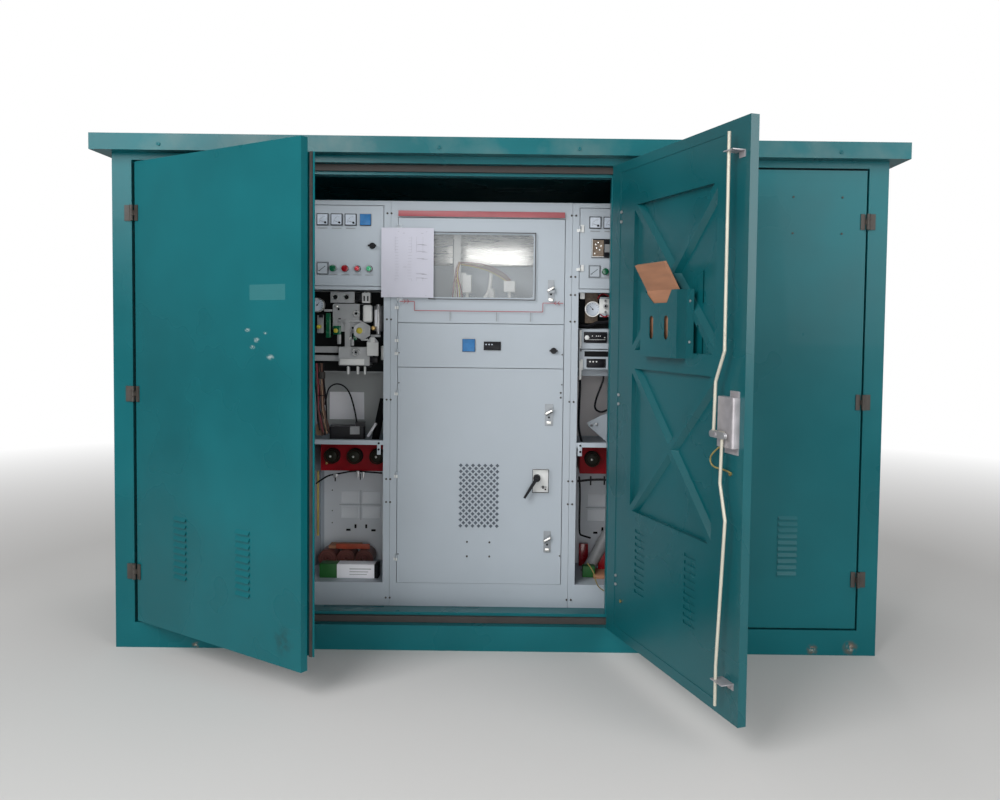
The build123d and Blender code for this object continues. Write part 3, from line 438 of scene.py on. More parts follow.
def on_door(tree, place, door):
    """A door's own width, depth and height, from the place on its open leaf."""
    back = door.inverted()
    mapping = add(tree, "Mapping")
    mapping.inputs["Location"].default_value = back.translation
    mapping.inputs["Rotation"].default_value = back.to_euler()
    tree.links.new(place, mapping.inputs["Vector"])
    return mapping.outputs["Vector"]


def rust(tree, shader, place, spots):
    """Brown bloom at each spot of bare metal."""
    for centre, radius in spots:
        halo = round_mask(tree, place, centre, radius)
        mark(tree, shader, times(tree, halo, 0.75), (0.16, 0.07, 0.03))
        mark(tree, shader, round_mask(tree, place, centre, radius * 0.55), (0.33, 0.3, 0.26))


NODE_FINISHES = {
    "kiosk paint": (
        "floor_plate frame_posts head_rail side_wall_left side_wall_right back_wall door_stops "
        "leaf_right inner_sheet_right inner_sheet_left astragal"
    ),
    # The middle door's leaf, inner sheet and pocket take the kiosk paint darkened: painted shade.
    "middle door paint with painted shade": "leaf_middle inner_sheet_middle document_pocket",
    "cubicle paint": (
        "cubicle_left cubicle_middle cubicle_right window_door strip_door lower_door door_grille panel_left "
        "panel_right relay_rack_right gusset_right"
    ),
    "zinc": "mechanism_cylinder gauges lock_crank",
    "lock zinc": "lock_box",
    "plate grey": "mechanism_left",
    "latch grey": "window_latch lower_latches",
    "cream rod": "rod_upper rod_lower",
    "dark hinge": "post_hinges hinges_left hinges_middle hinges_right",
    "seal rubber": "frame_seals astragal_seal",
    "black plastic": (
        "relay_modules bushings control_pack strip_fittings instruments_left instruments_right lever"
    ),
    "white plastic": "cubicle_hinges window_fittings handle_plate",
    "red cast resin": "bushing_boxes",
    "brown card": "document_folder carton",
    "brown tape": "tape_rolls",
    "clear sheet": "window_pane",
    "roof paint": "roof",
    "sill paint": "base_frame",
    "leaf paint": "leaf_left",
}


def clear_sheet():
    """Thin clear plastic that lets the light in and mirrors a little."""
    finish("clear sheet", (0.8, 0.84, 0.86), (0.03, 0.08), shade=0.03, cloud=3, bump=0.02, pores=30)
    shader = FINISHES["clear sheet"].node_tree.nodes["Shader"]
    shader.inputs["Alpha"].default_value = CLEAR_SHEET_ALPHA
    FINISHES["clear sheet"].surface_render_method = "BLENDED"


def marked_paints():
    """The kiosk's paint where it is scuffed, rusted or dusty."""
    tree, shader, place = worn_copy("kiosk paint", "sill paint")
    rust(tree, shader, place, (((1247, -650, 22), 26), ((1396, -650, 31), 34), ((-1180, -650, 12), 20)))
    tree, shader, place = worn_copy("kiosk paint", "roof paint")
    dust = spread(tree, grain(tree, place, 6, 6.0), 0, 1, 0.45, 0.7)
    mark(tree, shader, times(tree, dust, 0.25), (0.2, 0.22, 0.2))
    tree, shader, place = worn_copy("kiosk paint", "leaf paint")
    local = on_door(tree, place, ON_LEFT_DOOR)
    old_label = box_mask(tree, local, (674, 0, 1359), (856, 0, 1412))
    mark(tree, shader, times(tree, old_label, 0.25), (0.1, 0.25, 0.25))
    for x, z, size in ((663, 1256, 17), (710, 1222, 20), (689, 1197, 16), (781, 1165, 22), (756, 1247, 12)):
        chip = round_mask(tree, local, (x, 0, z), size, (1, 0.1, 2))
        mark(tree, shader, times(tree, chip, 0.6), (0.4, 0.45, 0.44))
    mark(tree, shader, times(tree, round_mask(tree, local, (845, 0, 198), 60), 0.5), (0.01, 0.03, 0.03))


class KIOSK_OT_finishes(bpy.types.Operator):
    """Makes every finish and gives each CAD node its own"""

    bl_idname = "kiosk.finishes"
    bl_label = "Finishes"

    def execute(self, context):
        """Makes the materials, then assigns them."""
        look = context.scene.kiosk_colours
        finish("kiosk paint", look.kiosk, (0.24, 0.36), shade=0.14, cloud=2.2, bump=0.12,
               pores=260, coat=0.04, shine=0.22)
        # The kiosk paint darkened for the middle door: painted shade.
        shaded_kiosk = tuple(MIDDLE_DOOR_PAINTED_SHADE * part for part in look.kiosk)
        finish("middle door paint with painted shade", shaded_kiosk, (0.24, 0.36), shade=0.14, cloud=2.2, bump=0.12, pores=900)
        finish("cubicle paint", look.cubicle, (0.38, 0.5), shade=0.04, cloud=2.5, pores=700)
        finish("zinc", (0.46, 0.46, 0.47), (0.32, 0.48), metal=0.7, cloud=12, bump=0.12, pores=200)
        finish("plate grey", (0.4, 0.41, 0.42), (0.4, 0.55), metal=0.25, shade=0.12, cloud=9, bump=0.15,
               pores=260)
        finish("cream rod", (0.5, 0.48, 0.4), (0.4, 0.5), metal=0.2, cloud=8)
        finish("bay pale", (0.66, 0.7, 0.74), (0.45, 0.55), shade=0.04, cloud=4)
        for name, tint in (("bay grey", (0.42, 0.44, 0.44)), ("bay warm", (0.72, 0.68, 0.68))):
            finish(name, tint, (0.45, 0.55), shade=0.06, cloud=4)
        finish("bay white", (0.8, 0.84, 0.88), (0.45, 0.55), shade=0.03, cloud=6)
        finish("latch grey", (0.27, 0.29, 0.31), (0.35, 0.5), metal=0.5, shade=0.12, cloud=30)
        finish("filter mat", (0.1, 0.12, 0.15), (0.7, 0.8), shade=0.15, cloud=70)
        finish("faint print", (0.36, 0.36, 0.42), (0.7, 0.8), shade=0.05, cloud=30)
        finish("board brown", (0.19, 0.14, 0.1), (0.5, 0.6), shade=0.3, cloud=90)
        finish("lock zinc", (0.42, 0.4, 0.42), (0.35, 0.55), metal=0.5, shade=0.12, cloud=30, pores=200)
        finish("bright steel", (0.75, 0.74, 0.71), (0.22, 0.36), metal=0.9, cloud=14, bump=0.1,
               pores=220, stretch=(1, 1, 12))
        finish("brass", (0.62, 0.42, 0.16), (0.3, 0.45), metal=0.9, shade=0.15, cloud=40)
        finish("dark hinge", (0.045, 0.038, 0.032), (0.45, 0.65), shade=0.3, cloud=22, bump=0.25, pores=300)
        finish("seal rubber", (0.035, 0.03, 0.028), (0.6, 0.8), shade=0.25, cloud=20, bump=0.2, pores=900)
        finish("black plastic", (0.008, 0.008, 0.011), (0.35, 0.5), shade=0.25, cloud=60, bump=0.15,
               pores=1400, shine=0.2)
        finish("white plastic", (0.72, 0.73, 0.72), (0.35, 0.5), shade=0.05, cloud=25, pores=900)
        finish("grey plastic", (0.25, 0.26, 0.27), (0.4, 0.55), cloud=40, bump=0.12, pores=900)
        finish("red cast resin", (0.24, 0.003, 0.008), (0.45, 0.6), shade=0.2, cloud=14, bump=0.2,
               pores=240, shine=0.15)
        finish("brown card", look.card, (0.7, 0.85), shade=0.12, cloud=9, bump=0.3, pores=420,
               stretch=(1, 1, 7))
        finish("brown tape", (0.16, 0.052, 0.045), (0.3, 0.45), shade=0.15, cloud=30, bump=0.2, pores=700,
               stretch=(1, 8, 1))
        finish("paper", (0.56, 0.56, 0.64), (0.75, 0.85), shade=0.03, cloud=7, bump=0.15, pores=600)
        finish("stripe red", look.stripe, (0.35, 0.45), cloud=14)
        for name, tint in (("signal red", (0.26, 0.003, 0.01)), ("signal green", (0.004, 0.1, 0.045))):
            finish(name, tint, (0.2, 0.3), shade=0.12, cloud=50, coat=0.4)
        for name, tint in (("lamp red", (0.6, 0.04, 0.06)), ("lamp green", (0.08, 0.5, 0.25))):
            finish(name, tint, (0.12, 0.2), shade=0.2, cloud=120, coat=0.6)
        finish("screen blue", (0.035, 0.17, 0.4), (0.3, 0.4), shade=0.12, cloud=60, shine=0.2)
        finish("dial white", (0.5, 0.56, 0.64), (0.2, 0.3), shade=0.05, cloud=30, coat=0.3)
        finish("wire red", (0.2, 0.012, 0.03), (0.4, 0.5), shade=0.15, cloud=80)
        finish("wire yellow", (0.5, 0.42, 0.03), (0.4, 0.5), shade=0.15, cloud=80)
        finish("earth green", (0.24, 0.19, 0.06), (0.4, 0.5), shade=0.25, cloud=60)
        finish("orange card", (0.42, 0.07, 0.03), (0.5, 0.6), shade=0.12, cloud=20)
        finish("carton green", (0.008, 0.1, 0.014), (0.45, 0.6), cloud=20)
        finish("white sheet", (0.93, 0.93, 0.98), (0.7, 0.8), shade=0.03, cloud=9, bump=0.15, pores=500)
        finish("old yellow", (0.42, 0.31, 0.08), (0.4, 0.55), shade=0.12, cloud=30)
        finish("skin brown", (0.42, 0.27, 0.17), (0.5, 0.65), cloud=20)
        finish("wire brown", (0.09, 0.035, 0.02), (0.4, 0.5), shade=0.2, cloud=60)
        finish("cup olive", (0.014, 0.014, 0.009), (0.35, 0.5), shade=0.3, cloud=30, bump=0.2, pores=300,
               shine=0.12)
        # Near black: the colour of dark holes, slots and sockets, and painted shade on the sheets that darken
        # the bays.
        finish("dark parts and painted shade", (0.008, 0.009, 0.01), (0.6, 0.8), shade=0.2, cloud=12, shine=0.1)
        clear_sheet()
        marked_paints()
        for name, nodes in NODE_FINISHES.items():
            for node in nodes.split():
                NODES[node].data.materials.clear()
                NODES[node].data.materials.append(FINISHES[name])
        return {"FINISHED"}


# Pieces


def screw_heads(name, places, radius, facing=FRONT, sides=12):
    """Round screw heads with a sunk drive, one at each place, the place on the sheet they hold."""
    rise = radius * 0.55
    spot = Vector(places[0]) + facing * (rise / 2 - 0.4)
    head = rod(name, spot, radius, rise + 0.8, facing, sides)
    in_edit(head, facing, lambda: (
        inset(radius * 0.22, radius * 0.12), inset(radius * 0.36), inset(radius * 0.08, -radius * 0.3),
    ))
    return copies(head, places)


def hex_heads(name, places, radius, rise, facing=FRONT):
    """Hexagon bolt heads on round washers."""
    washer = rod(name + "_washer", Vector(places[0]) + facing * 0.7, radius * 1.45, 2.2, facing, 20)
    head = rod(name, Vector(places[0]) + facing * (1.5 + rise / 2), radius, rise, facing, 6)
    domed(head, facing, radius * 0.22, rise * 0.3)
    return copies(joined(name, head, washer), places)


class KIOSK_OT_roof_trim(bpy.types.Operator):
    """Bolt heads along the roof's rim"""

    bl_idname = "kiosk.roof_trim"
    bl_label = "Roof trim"

    def execute(self, context):
        """Adds the bolts that hold the roof to the head rail."""
        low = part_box("roof")[0] * 1000
        places = [(x, low.y, low.z + RIM_SCREW_RISE) for x in (-1290, -760, -230, 300, 830, 1290)]
        settle(screw_heads("roof_rim_screws", places, 7), "kiosk paint")
        return {"FINISHED"}


def front_screws():
    """Pairs of screws down the four uprights and along the doors' edges."""
    heights = [1740, 1488, 1413, 1303, 969, 636, 539, 134]
    uprights = [(x, FACE, z) for z in heights for x in (-475, -458, 286, 304)]
    settle(screw_heads("upright_screws", uprights, 4.2), "dark hinge")
    corners = [(x, FACE - 1.5, z) for x in (-424, 254) for z in (1165, 1040, 320)]
    settle(screw_heads("lower_door_screws", corners, 3), "dark hinge", "lower_cover")
    dots = ((-135, 375), (-41, 374), (-135, 314), (-41, 314), (250, 1006), (250, 986))
    rivets = [(x, FACE - 1.5, z) for x, z in dots]
    settle(screw_heads("lower_door_dots", rivets, 4), "dark hinge", "lower_cover")


def head_stripe():
    """The painted red band across the head of the window door, bare of words."""
    front = door_front()
    band = block("red_stripe", (STRIPE_X[0] + 1, front - 0.5, 1728), (STRIPE_X[1] - 1, front + 0.4, 1751))
    settle(rounded(band, 0.3), "stripe red", "window_cover")


def diagram_lines():
    """The one-line circuit diagram: a red busbar with two spurs and grey tails."""
    front = door_front()
    upper = (
        ((-421, 1376.5), (-360, 1379.5)), ((-361.5, 1341), (-358.5, 1379)), ((-360, 1339.5), (171, 1342.5)),
        ((169.5, 1341), (172.5, 1379)), ((171, 1376.5), (256, 1379.5)),
    )
    lines = [block("busbar", (a[0], front - 0.5, a[1]), (b[0], front + 0.4, b[1])) for a, b in upper]
    for x in (-400, -386, 222, 236):
        lean = 1 if x < 0 else -1
        for rise in (-1, 1):
            arm = block("arrow", (-6, front - 0.5, -1.2), (6, front + 0.4, 1.2))
            lines.append(turned(arm, (x, 0, 1378 + rise * 4), 42 * rise * lean))
    settle(joined("circuit_diagram", *lines), "stripe red", "window_cover", smooth=0)
    tails = [
        block("tail", (x - 1.2, front - 0.5, 1300), (x + 1.2, front + 0.4, 1338)) for x in (-212, -20, 120)
    ]
    settle(joined("diagram_tails", *tails), "grey plastic", "window_cover", smooth=0)


def window_gasket():
    """The dark rubber edge round the window sheet."""
    low, high = (corner * 1000 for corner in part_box("window_pane"))
    front = door_front()
    edge = block("window_gasket", (low.x, front + 0.6, low.z), (high.x, front + 2.6, high.z))
    for facing in (FRONT, BACK):
        in_edit(edge, facing, lambda: (inset(3.5), bpy.ops.mesh.delete(type="FACE")))
    only(edge)
    bpy.ops.object.mode_set(mode="EDIT")
    bpy.ops.mesh.select_mode(type="EDGE")
    bpy.ops.mesh.select_all(action="DESELECT")
    bpy.ops.mesh.select_non_manifold()
    bpy.ops.mesh.bridge_edge_loops()
    bpy.ops.mesh.select_all(action="SELECT")
    bpy.ops.mesh.normals_make_consistent(inside=False)
    bpy.ops.object.mode_set(mode="OBJECT")
    settle(edge, "seal rubber", "window_cover")


class KIOSK_OT_front_trim(bpy.types.Operator):
    """Screws, stripe, window frame and circuit diagram on the cubicles' front"""

    bl_idname = "kiosk.front_trim"
    bl_label = "Cubicle front"

    def execute(self, context):
        """Adds everything flat on the cubicles' front."""
        front_screws()
        head_stripe()
        diagram_lines()
        window_gasket()
        return {"FINISHED"}


def dials(side, x0, body):
    """White dials with their scale, needle and setting knob in black."""
    first = x0 + METER_X[0] + METER_W / 2
    places = [(x0 + left, 0, 0) for left in METER_X]
    face = block(f"dial_plates_{side}", (first - 21, FACE - 7.6, 1691), (first + 21, FACE - 6, 1733))
    settle(copies(panelled(face, FRONT, 1, -0.4), places), "dial white", body)
    marks, pivot = [], (first + 12, 0, 1699)
    for i in range(9):
        tick = block("tick", (-0.4, FACE - 8, 23.5 if i % 4 else 22), (0.4, FACE - 7.2, 26))
        marks.append(turned(tick, pivot, -5 - 10 * i))
    needle = turned(block("needle", (-0.5, FACE - 8.2, 0), (0.5, FACE - 7.4, 22)), pivot, -70)
    boss = domed(rod("boss", (first + 12, FACE - 8.6, 1699), 4.5, 3, FRONT), FRONT, 1, 1)
    settle(copies(joined(f"dial_scales_{side}", *marks, needle, boss), places), "black plastic", body)
    words = [(x0 + left + 4, x0 + left + 44, 1675, 1678) for left in METER_X]
    words += [(x0 + dx - 17, x0 + dx + 17, 1484, 1486.4) for dx in BUTTON_X]
    bars = [block("line", (a, FACE - 2.9, low), (b, FACE - 2.2, high)) for a, b, low, high in words]
    settle(joined(f"label_lines_{side}", *bars), "grey plastic", body, smooth=0)


def panel_screen(side, x0, body):
    """A lit blue screen in its frame."""
    plate(f"screen_{side}", "screen blue", body,
          (x0 + 217, FACE - 7.8, 1690), (x0 + 261, FACE - 5, 1735), 3, -0.4, 0.5)


def position_mark(side, x0, body):
    """The switch position mark: a white square with a frame and a slanting line."""
    plate(f"position_mark_{side}", "cubicle paint", body,
          (x0 + 39.4, FACE - 6.4, 1486.4), (x0 + 84.6, FACE - 4, 1535.6), 2.2, -0.4)
    sides = (
        (40.5, 83.5, 1488, 1489.6), (40.5, 83.5, 1532.4, 1534),
        (40.5, 42.1, 1489, 1533), (81.9, 83.5, 1489, 1533),
    )
    rim = [block("rim", (x0 + a, FACE - 6.8, low), (x0 + b, FACE - 5.8, high)) for a, b, low, high in sides]
    arm = turned(block("arm", (-17, FACE - 6.8, -1), (17, FACE - 5.8, 1)), (x0 + 61, 0, 1510), -38)
    stub = block("stub", (x0 + 45, FACE - 6.8, 1499), (x0 + 53, FACE - 5.8, 1501))
    settle(joined(f"position_lines_{side}", arm, stub, *rim), "black plastic", body, smooth=0)


def caps_and_lamps(side, x0, body):
    """Push buttons and pilot lamps in the order the panel has."""
    colours = ("signal green", "signal red", "lamp red", "lamp green")
    for dx, colour in zip(BUTTON_X, colours):
        spot = (x0 + dx, FACE - 13, 1511)
        big = colour.startswith("signal")
        cap = rod(f"cap_{side}_{dx:.0f}", spot, 14 if big else 10, 6, FRONT, 32)
        domed(cap, FRONT, 1.6, 1.4 if big else 3.2)
        settle(rounded(cap, 0.5), colour, body)
        name = f"cap_collar_{side}_{dx:.0f}"
        collar = ring(name, (x0 + dx, FACE - 10.5, 1511), 13 if big else 11.5, 1.4, FRONT)
        settle(joined(name, collar), "zinc", body)


def relay_front():
    """The protection relay's window, its dark plug-in faces and their lugs."""
    x0 = RIGHT_PANEL_X
    low, high = (x0 + 48, 1568), (x0 + 182, 1645)
    front = FACE - 5
    plate("relay_card", "board brown", "instrument_panel_right",
          (low[0] + 5, front, low[1] + 5), (low[0] + 50, front + 3, high[1] - 5), 4, -1, 0.6)
    tiles("relay_rim", "white plastic", [
        (low[0] + 1, low[0] + 4, 1570, 1644, -7.6, -5), (low[0] + 4, low[0] + 52, 1570, 1573, -7.6, -5),
    ], 0.5, "instrument_panel_right")
    plate("relay_module", "black plastic", "instrument_panel_right",
          (low[0] + 54, front - 3, low[1] + 4), (high[0] - 4, front + 3, high[1] - 4), 3, -1.5, 0.8)
    plate("relay_screen", "grey plastic", "instrument_panel_right",
          (low[0] + 54, front - 4, 1590), (high[0] - 4, front - 1, 1623), 2, -0.6, 0.5)
    heads = ((14, 1585), (34, 1600), (18, 1622), (28, 1630), (40, 1616), (22, 1608))
    screws = [(low[0] + x, front, z) for x, z in heads]
    tiles("panel_hinges_right", "white plastic", [
        (322, 338, 1671, 1702, -5, -2), (324, 339, 1511, 1538, -5, -2),
    ], 1.2, "kiosk")
    settle(screw_heads("relay_screws", screws, 3.4), "bright steel", "instrument_panel_right")


class KIOSK_OT_instruments(bpy.types.Operator):
    """Dials, screens, button caps and lamps of both instrument panels"""

    bl_idname = "kiosk.instruments"
    bl_label = "Instruments"

    def execute(self, context):
        """Dresses the left and the right panel alike."""
        for side, x0 in (("left", LEFT_PANEL_X), ("right", RIGHT_PANEL_X)):
            body = f"instrument_panel_{side}"
            dials(side, x0, body)
            panel_screen(side, x0, body)
            position_mark(side, x0, body)
            caps_and_lamps(side, x0, body)
        relay_front()
        return {"FINISHED"}


def latch_grips():
    """Bright turned grips, catch squares and screw holes on the three latches."""
    for name, body, x, z in (("window", "window_cover", 204, 1436), ("upper", "lower_cover", 202, 926),
                             ("lower", "lower_cover", 201, 392)):
        grip = turned(block(f"{name}_grip", (-17, FACE - 22, -5), (17, FACE - 15, 5)), (x, 0, z), -30)
        settle(rounded(grip, 3, 3), "bright steel", body)
        edge = block(f"{name}_grip_edge", (-17, FACE - 16, -8), (15, FACE - 10, 1))
        settle(turned(edge, (x - 1, 0, z), -30), "black plastic", body)
        tiles(f"{name}_catch", "bright steel", [(x - 9, x + 9, z - 50, z - 38, -14.6, -12)], 0.8, body)
        studs(f"{name}_latch_hole", "dark parts and painted shade", [(x, z - 22, -14.2, 4, 2)], body, 0)


class KIOSK_OT_lower_front(bpy.types.Operator):
    """Small display strip, indicator and door furniture of the middle cubicle"""

    bl_idname = "kiosk.lower_front"
    bl_label = "Strip and lower door"

    def execute(self, context):
        """Adds the strip's screen and indicator."""
        plate("strip_screen", "screen blue", "strip_cover",
              (-160, FACE - 9, 1174), (-109, FACE - 3, 1225), 4, -0.5, 0.6)
        plate("strip_indicator", "black plastic", "strip_cover",
              (-68, FACE - 6, 1184), (-5, FACE - 2, 1212), 3, -1, 0.8)
        tiles("handle_border", "black plastic", [
            (136.5, 204.5, 684.4, 686.6, -16.4, -13), (136.5, 204.5, 588.4, 590.6, -16.4, -13),
            (136.5, 138.7, 590, 685, -16.4, -13), (202.3, 204.5, 590, 685, -16.4, -13),
            (172, 196, 612, 614, -16.2, -13), (178, 184, 606, 618, -16.2, -13),
            (188, 194, 600, 606, -16.2, -13),
        ], 0, "lower_cover")
        mat = block("grille_mat", (-194, FACE + 6, 352), (20, FACE + 9, 704))
        settle(mat, "filter mat", "lower_cover")
        latch_grips()
        dots = rod("strip_lamps", (-62, FACE - 5.6, 1204), 3, 3, FRONT, 20)
        domed(dots, FRONT, 0.8, 0.8)
        settle(copies(dots, [(-62, 0, 0), (-50, 0, 0), (-38, 0, 0)]), "dial white", "strip_cover")
        return {"FINISHED"}


def spring_drive():
    """The spring drive's covers, buttons, pins and gauge, over a near black sheet of painted shade."""
    # Painted shade: a near black sheet over the mechanism's back plate, and two dark patches as the cam's
    # painted shadow.
    tiles("bay_painted_shade_left", "dark parts and painted shade", [(-822, -500, 1076, 1421, 187, 189)], 0)
    tiles("cam_shadow", "dark parts and painted shade", [
        (-608, -560, 1286, 1366, 101, 106), (-640, -560, 1208, 1240, 101, 105),
    ], 3)
    tiles("drive_covers", "white plastic", [
        (-597, -562, 1372, 1416, 92, 118), (-575, -527, 1148, 1205, 91, 94.2),
        (-560, -542, 1204, 1226, 91, 94.2), (-692, -588, 1108, 1134, 96, 104),
        (-520, -505, 1130, 1190, 120, 160),
    ], 2.5)
    sleeve = rod("cylinder_sleeve", (-533, FACE + 128, 1309), 20, 104, UP, 32)
    settle(rounded(sleeve, 2), "zinc")
    # Painted highlight: a white strip down the cylinder's sleeve where its gloss catches the light.
    tiles("cylinder_painted_highlight", "white sheet", [(-545, -534, 1272, 1344, 106.5, 109.5)], 0.6)
    tiles("drive_braces", "plate grey", [
        (-700, -600, 1290, 1298, 100, 106), (-706, -690, 1196, 1246, 112, 120),
        (-644, -632, 1190, 1250, 96, 104), (-600, -570, 1212, 1220, 90, 98),
        (-560, -520, 1228, 1238, 100, 112), (-764, -728, 1334, 1344, 118, 124),
    ], 1.5)
    tiles("drive_feet", "black plastic", [
        (-570, -532, 1118, 1142, 112, 130), (-700, -560, 1098, 1106, 112, 124),
    ], 2)
    settle(joined("drive_springs", *[
        ring("coil", (-650 + 5 * i, FACE + 104, 1222), 7, 1.3, RIGHT, 20, 8) for i in range(5)
    ]), "bright steel")
    cover = block("curved_cover", (-592, FACE + 82, 1290), (-552, FACE + 104, 1364))
    settle(rounded(rounded(cover, 9, 4), 0.8), "white plastic")
    tiles("cover_windows", "black plastic", [
        (-618, -602, 1384, 1404, 101, 105), (-590, -584, 1380, 1402, 90, 94),
        (-575, -569, 1380, 1402, 90, 94), (-780, -764, 1308, 1322, 96, 110),
        (-700, -690, 1302, 1306, 108, 112),
    ], 0.5)
    tiles("cover_pins", "bright steel", [
        (-588, -584, 1404, 1424, 96, 100), (-574, -570, 1404, 1424, 96, 100),
    ], 0.6)
    star = rod("star_plate", (-594, FACE + 82, 1254), 40, 4, FRONT, 6)
    settle(rounded(panelled(star, FRONT, 4, -1), 0.8), "plate grey")
    studs("yellow_buttons", "wire yellow", [
        (-780, 1269, 92, 9, 14), (-708, 1253, 90, 9, 16), (-604, 1254, 74, 13, 6),
    ])
    studs("brass_nuts", "brass", [(-550, 1266, 96, 9, 12), (-758, 677, 143, 5, 6)])
    studs("dark_sockets", "dark parts and painted shade", [
        (-712, 1396, 101, 10, 4), (-664, 1396, 101, 10, 4), (-622, 1327, 96, 6, 4), (-622, 1162, 90, 4, 3),
    ], cap=0)
    settle(joined("socket_rims", *[
        ring("rim", (x, FACE + near, z), radius, 1.6) for x, z, near, radius in (
            (-712, 1396, 99, 11), (-664, 1396, 99, 11), (-622, 1327, 95, 12), (-622, 1162, 89, 14))
    ]), "bright steel")
    tiles("green_parts", "signal green", [
        (-757, -736, 1222, 1328, 120, 150), (-721, -688, 1236, 1274, 98, 116),
        (-643, -618, 1213, 1246, 96, 108),
    ], 3)
    tiles("left_card", "grey plastic", [(-790, -763, 1242, 1318, 106, 112)], 1.5)
    low_pins = [rod("pin", (x, FACE + 112, 1084), 4.2, 34, UP, 20) for x in (-659, -618, -587)]
    settle(joined("white_pins", *low_pins), "white plastic")
    gauge_faces()
    bolts = [(-708, FACE + 110, 1356), (-600, FACE + 110, 1356), (-712, FACE + 110, 1261)]
    settle(hex_heads("mechanism_bolts", bolts, 4.5, 4), "bright steel")


def control_cables():
    """The control cable's arch, the wire bundle down the side and the paper on the back."""
    settle(wire("control_cable", [
        (-768, -244, 930), (-760, -240, 988), (-744, -240, 1014), (-715, -240, 1024), (-685, -240, 1014),
        (-663, -240, 987), (-648, -240, 943), (-632, -244, 878), (-628, -248, 846),
    ], 3.4), "black plastic")
    strands = ((-792, "wire brown"), (-784, "black plastic"), (-777, "wire brown"), (-771, "skin brown"),
               (-764, "wire brown"), (-759, "black plastic"), (-788, "wire red"), (-774, "black plastic"),
               (-797, "black plastic"), (-768, "wire brown"))
    for i, (x, look) in enumerate(strands):
        sway = 5 * math.sin(i * 2.1)
        settle(wire(f"loom_wire_{i}", [
            (x - 4, -290 - i, 1112), (x + sway, -296, 1051), (x + 4, -292 + sway, 990),
            (x + 3 - sway, -290, 928), (x + 12 + sway, -288, 867), (x + 22 + sway, -286, 800 + 3 * i),
        ], 3.6), look)
    settle(joined("loom_tie", ring("loom_tie", (-773, -292, 975), 16, 1.8, UP)), "black plastic")
    cuff = rod("loom_cuff", (-770, -294, 1062), 15, 30, UP, 24)
    settle(rounded(cuff, 3), "seal rubber")
    sheet = block("wiring_sheet", (-790, -56, 849), (-633, -55, 974))
    in_edit(sheet, None, lambda: bpy.ops.mesh.subdivide(number_cuts=6))
    for corner in sheet.data.vertices:
        corner.co.y -= 0.004 * math.sin(corner.co.x * 30 + corner.co.z * 21)
    settle(sheet, "white sheet")
    label = turned(block("control_label", (-20, -1.2, -17), (20, 1.2, 17)), (-629, -289.5, 826), 8, "Z")
    settle(rounded(panelled(label, FRONT, 1.5, -0.4), 0.4), "grey plastic")
    sleeve = rod("cable_sleeve", (-629, -248, 852), 6, 16, UP, 20)
    settle(rounded(sleeve, 1.2), "black plastic")
    lean = Vector((-0.52, 0, -0.85)).normalized()
    brush = rod("white_brush", (-554, -280, 833), 6, 56, lean, 20)
    in_edit(brush, lean, lambda: (
        inset(-3, 8), inset(1, 4)))
    settle(brush, "white sheet")
    # A dark leaning duct in the near black finish, set where the bay's corner lies in shadow: partly a real
    # duct, partly painted shade.
    shaded_duct = rod("leaning_duct_painted_shade", (-528, -262, 872), 17, 182, Vector((0.2, 0, 0.98)).normalized(), 4)
    settle(rounded(shaded_duct, 2), "dark parts and painted shade")
    tiles("stored_block", "skin brown", [(-804, -771, 798, 850, 140, 190)], 7)


def left_bottom_bay():
    """Bushing centres, the thin cable under them, the back's embossing and the stored things."""
    bushing_centres("left", -784)
    settle(wire("bay_cable_left", [
        (-798, -280, 592), (-753, -280, 626), (-719, -280, 633), (-682, -280, 640), (-645, -280, 648),
        (-596, -280, 647), (-512, -280, 641),
    ], 3.6), "black plastic")
    tiles("cable_clips_left", "zinc", [
        (-722, -704, 619, 637, 112, 124), (-624, -610, 622, 650, 112, 124), (-599, -588, 618, 646, 112, 124),
    ], 2.5)
    tiles("clip_tails_left", "black plastic", [
        (-716, -711, 604, 622, 112, 118), (-607, -603, 612, 640, 110, 116),
    ], 1)
    bay_back("left", -816, -500, (-738, -641))
    back_slots("left", -648)
    studs("back_rivets", "dark parts and painted shade", [(-779, z, 350.5, 2.6, 3) for z in (522, 428, 372)])
    tiles("yellow_tube", "old yellow", [(-813, -803, 346, 636, 196, 206)], 3)
    tiles("orange_card", "orange card", [(-738, -588, 278.5, 301, 244, 249)], 0.6)
    tiles("carton_green_end", "carton green", [(-768.6, -690, 197.5, 256.6, 61.3, 122.6)], 0.5)
    tiles("carton_white_end", "white sheet", [(-694, -534, 197.5, 256.8, 61, 122.8)], 0.5)
    tiles("carton_dark_end", "dark parts and painted shade", [(-535, -519.4, 197.5, 256.6, 61.3, 122.6)], 0.5)
    tiles("carton_print", "grey plastic", [
        (-640, -548, 236, 239, 60.4, 61.5), (-640, -560, 224, 226.5, 60.4, 61.5),
        (-640, -566, 213, 215, 60.4, 61.5),
    ], 0)
    settle(joined("roll_edges", *[
        ring("roll_edge", (x, -171, 238), radius, 1) for x in (-774, -692, -610) for radius in (15, 26, 37)
    ]), "wire brown")
    tiles("shelf_bracket_left", "cubicle paint", [(-514, -499, 738, 797, -1, 3)], 1)
    studs("bracket_holes_left", "dark parts and painted shade", [(-507, 786, -2, 4.5, 2), (-507, 760, -2, 4.5, 2)])


class KIOSK_OT_left_bays(bpy.types.Operator):
    """Small parts, cables and stored things in the left cubicle's bays"""

    bl_idname = "kiosk.left_bays"
    bl_label = "Left bays"

    def execute(self, context):
        """Adds the mechanism's small parts, then the cable bay and the bottom bay."""
        spring_drive()
        control_cables()
        left_bottom_bay()
        return {"FINISHED"}


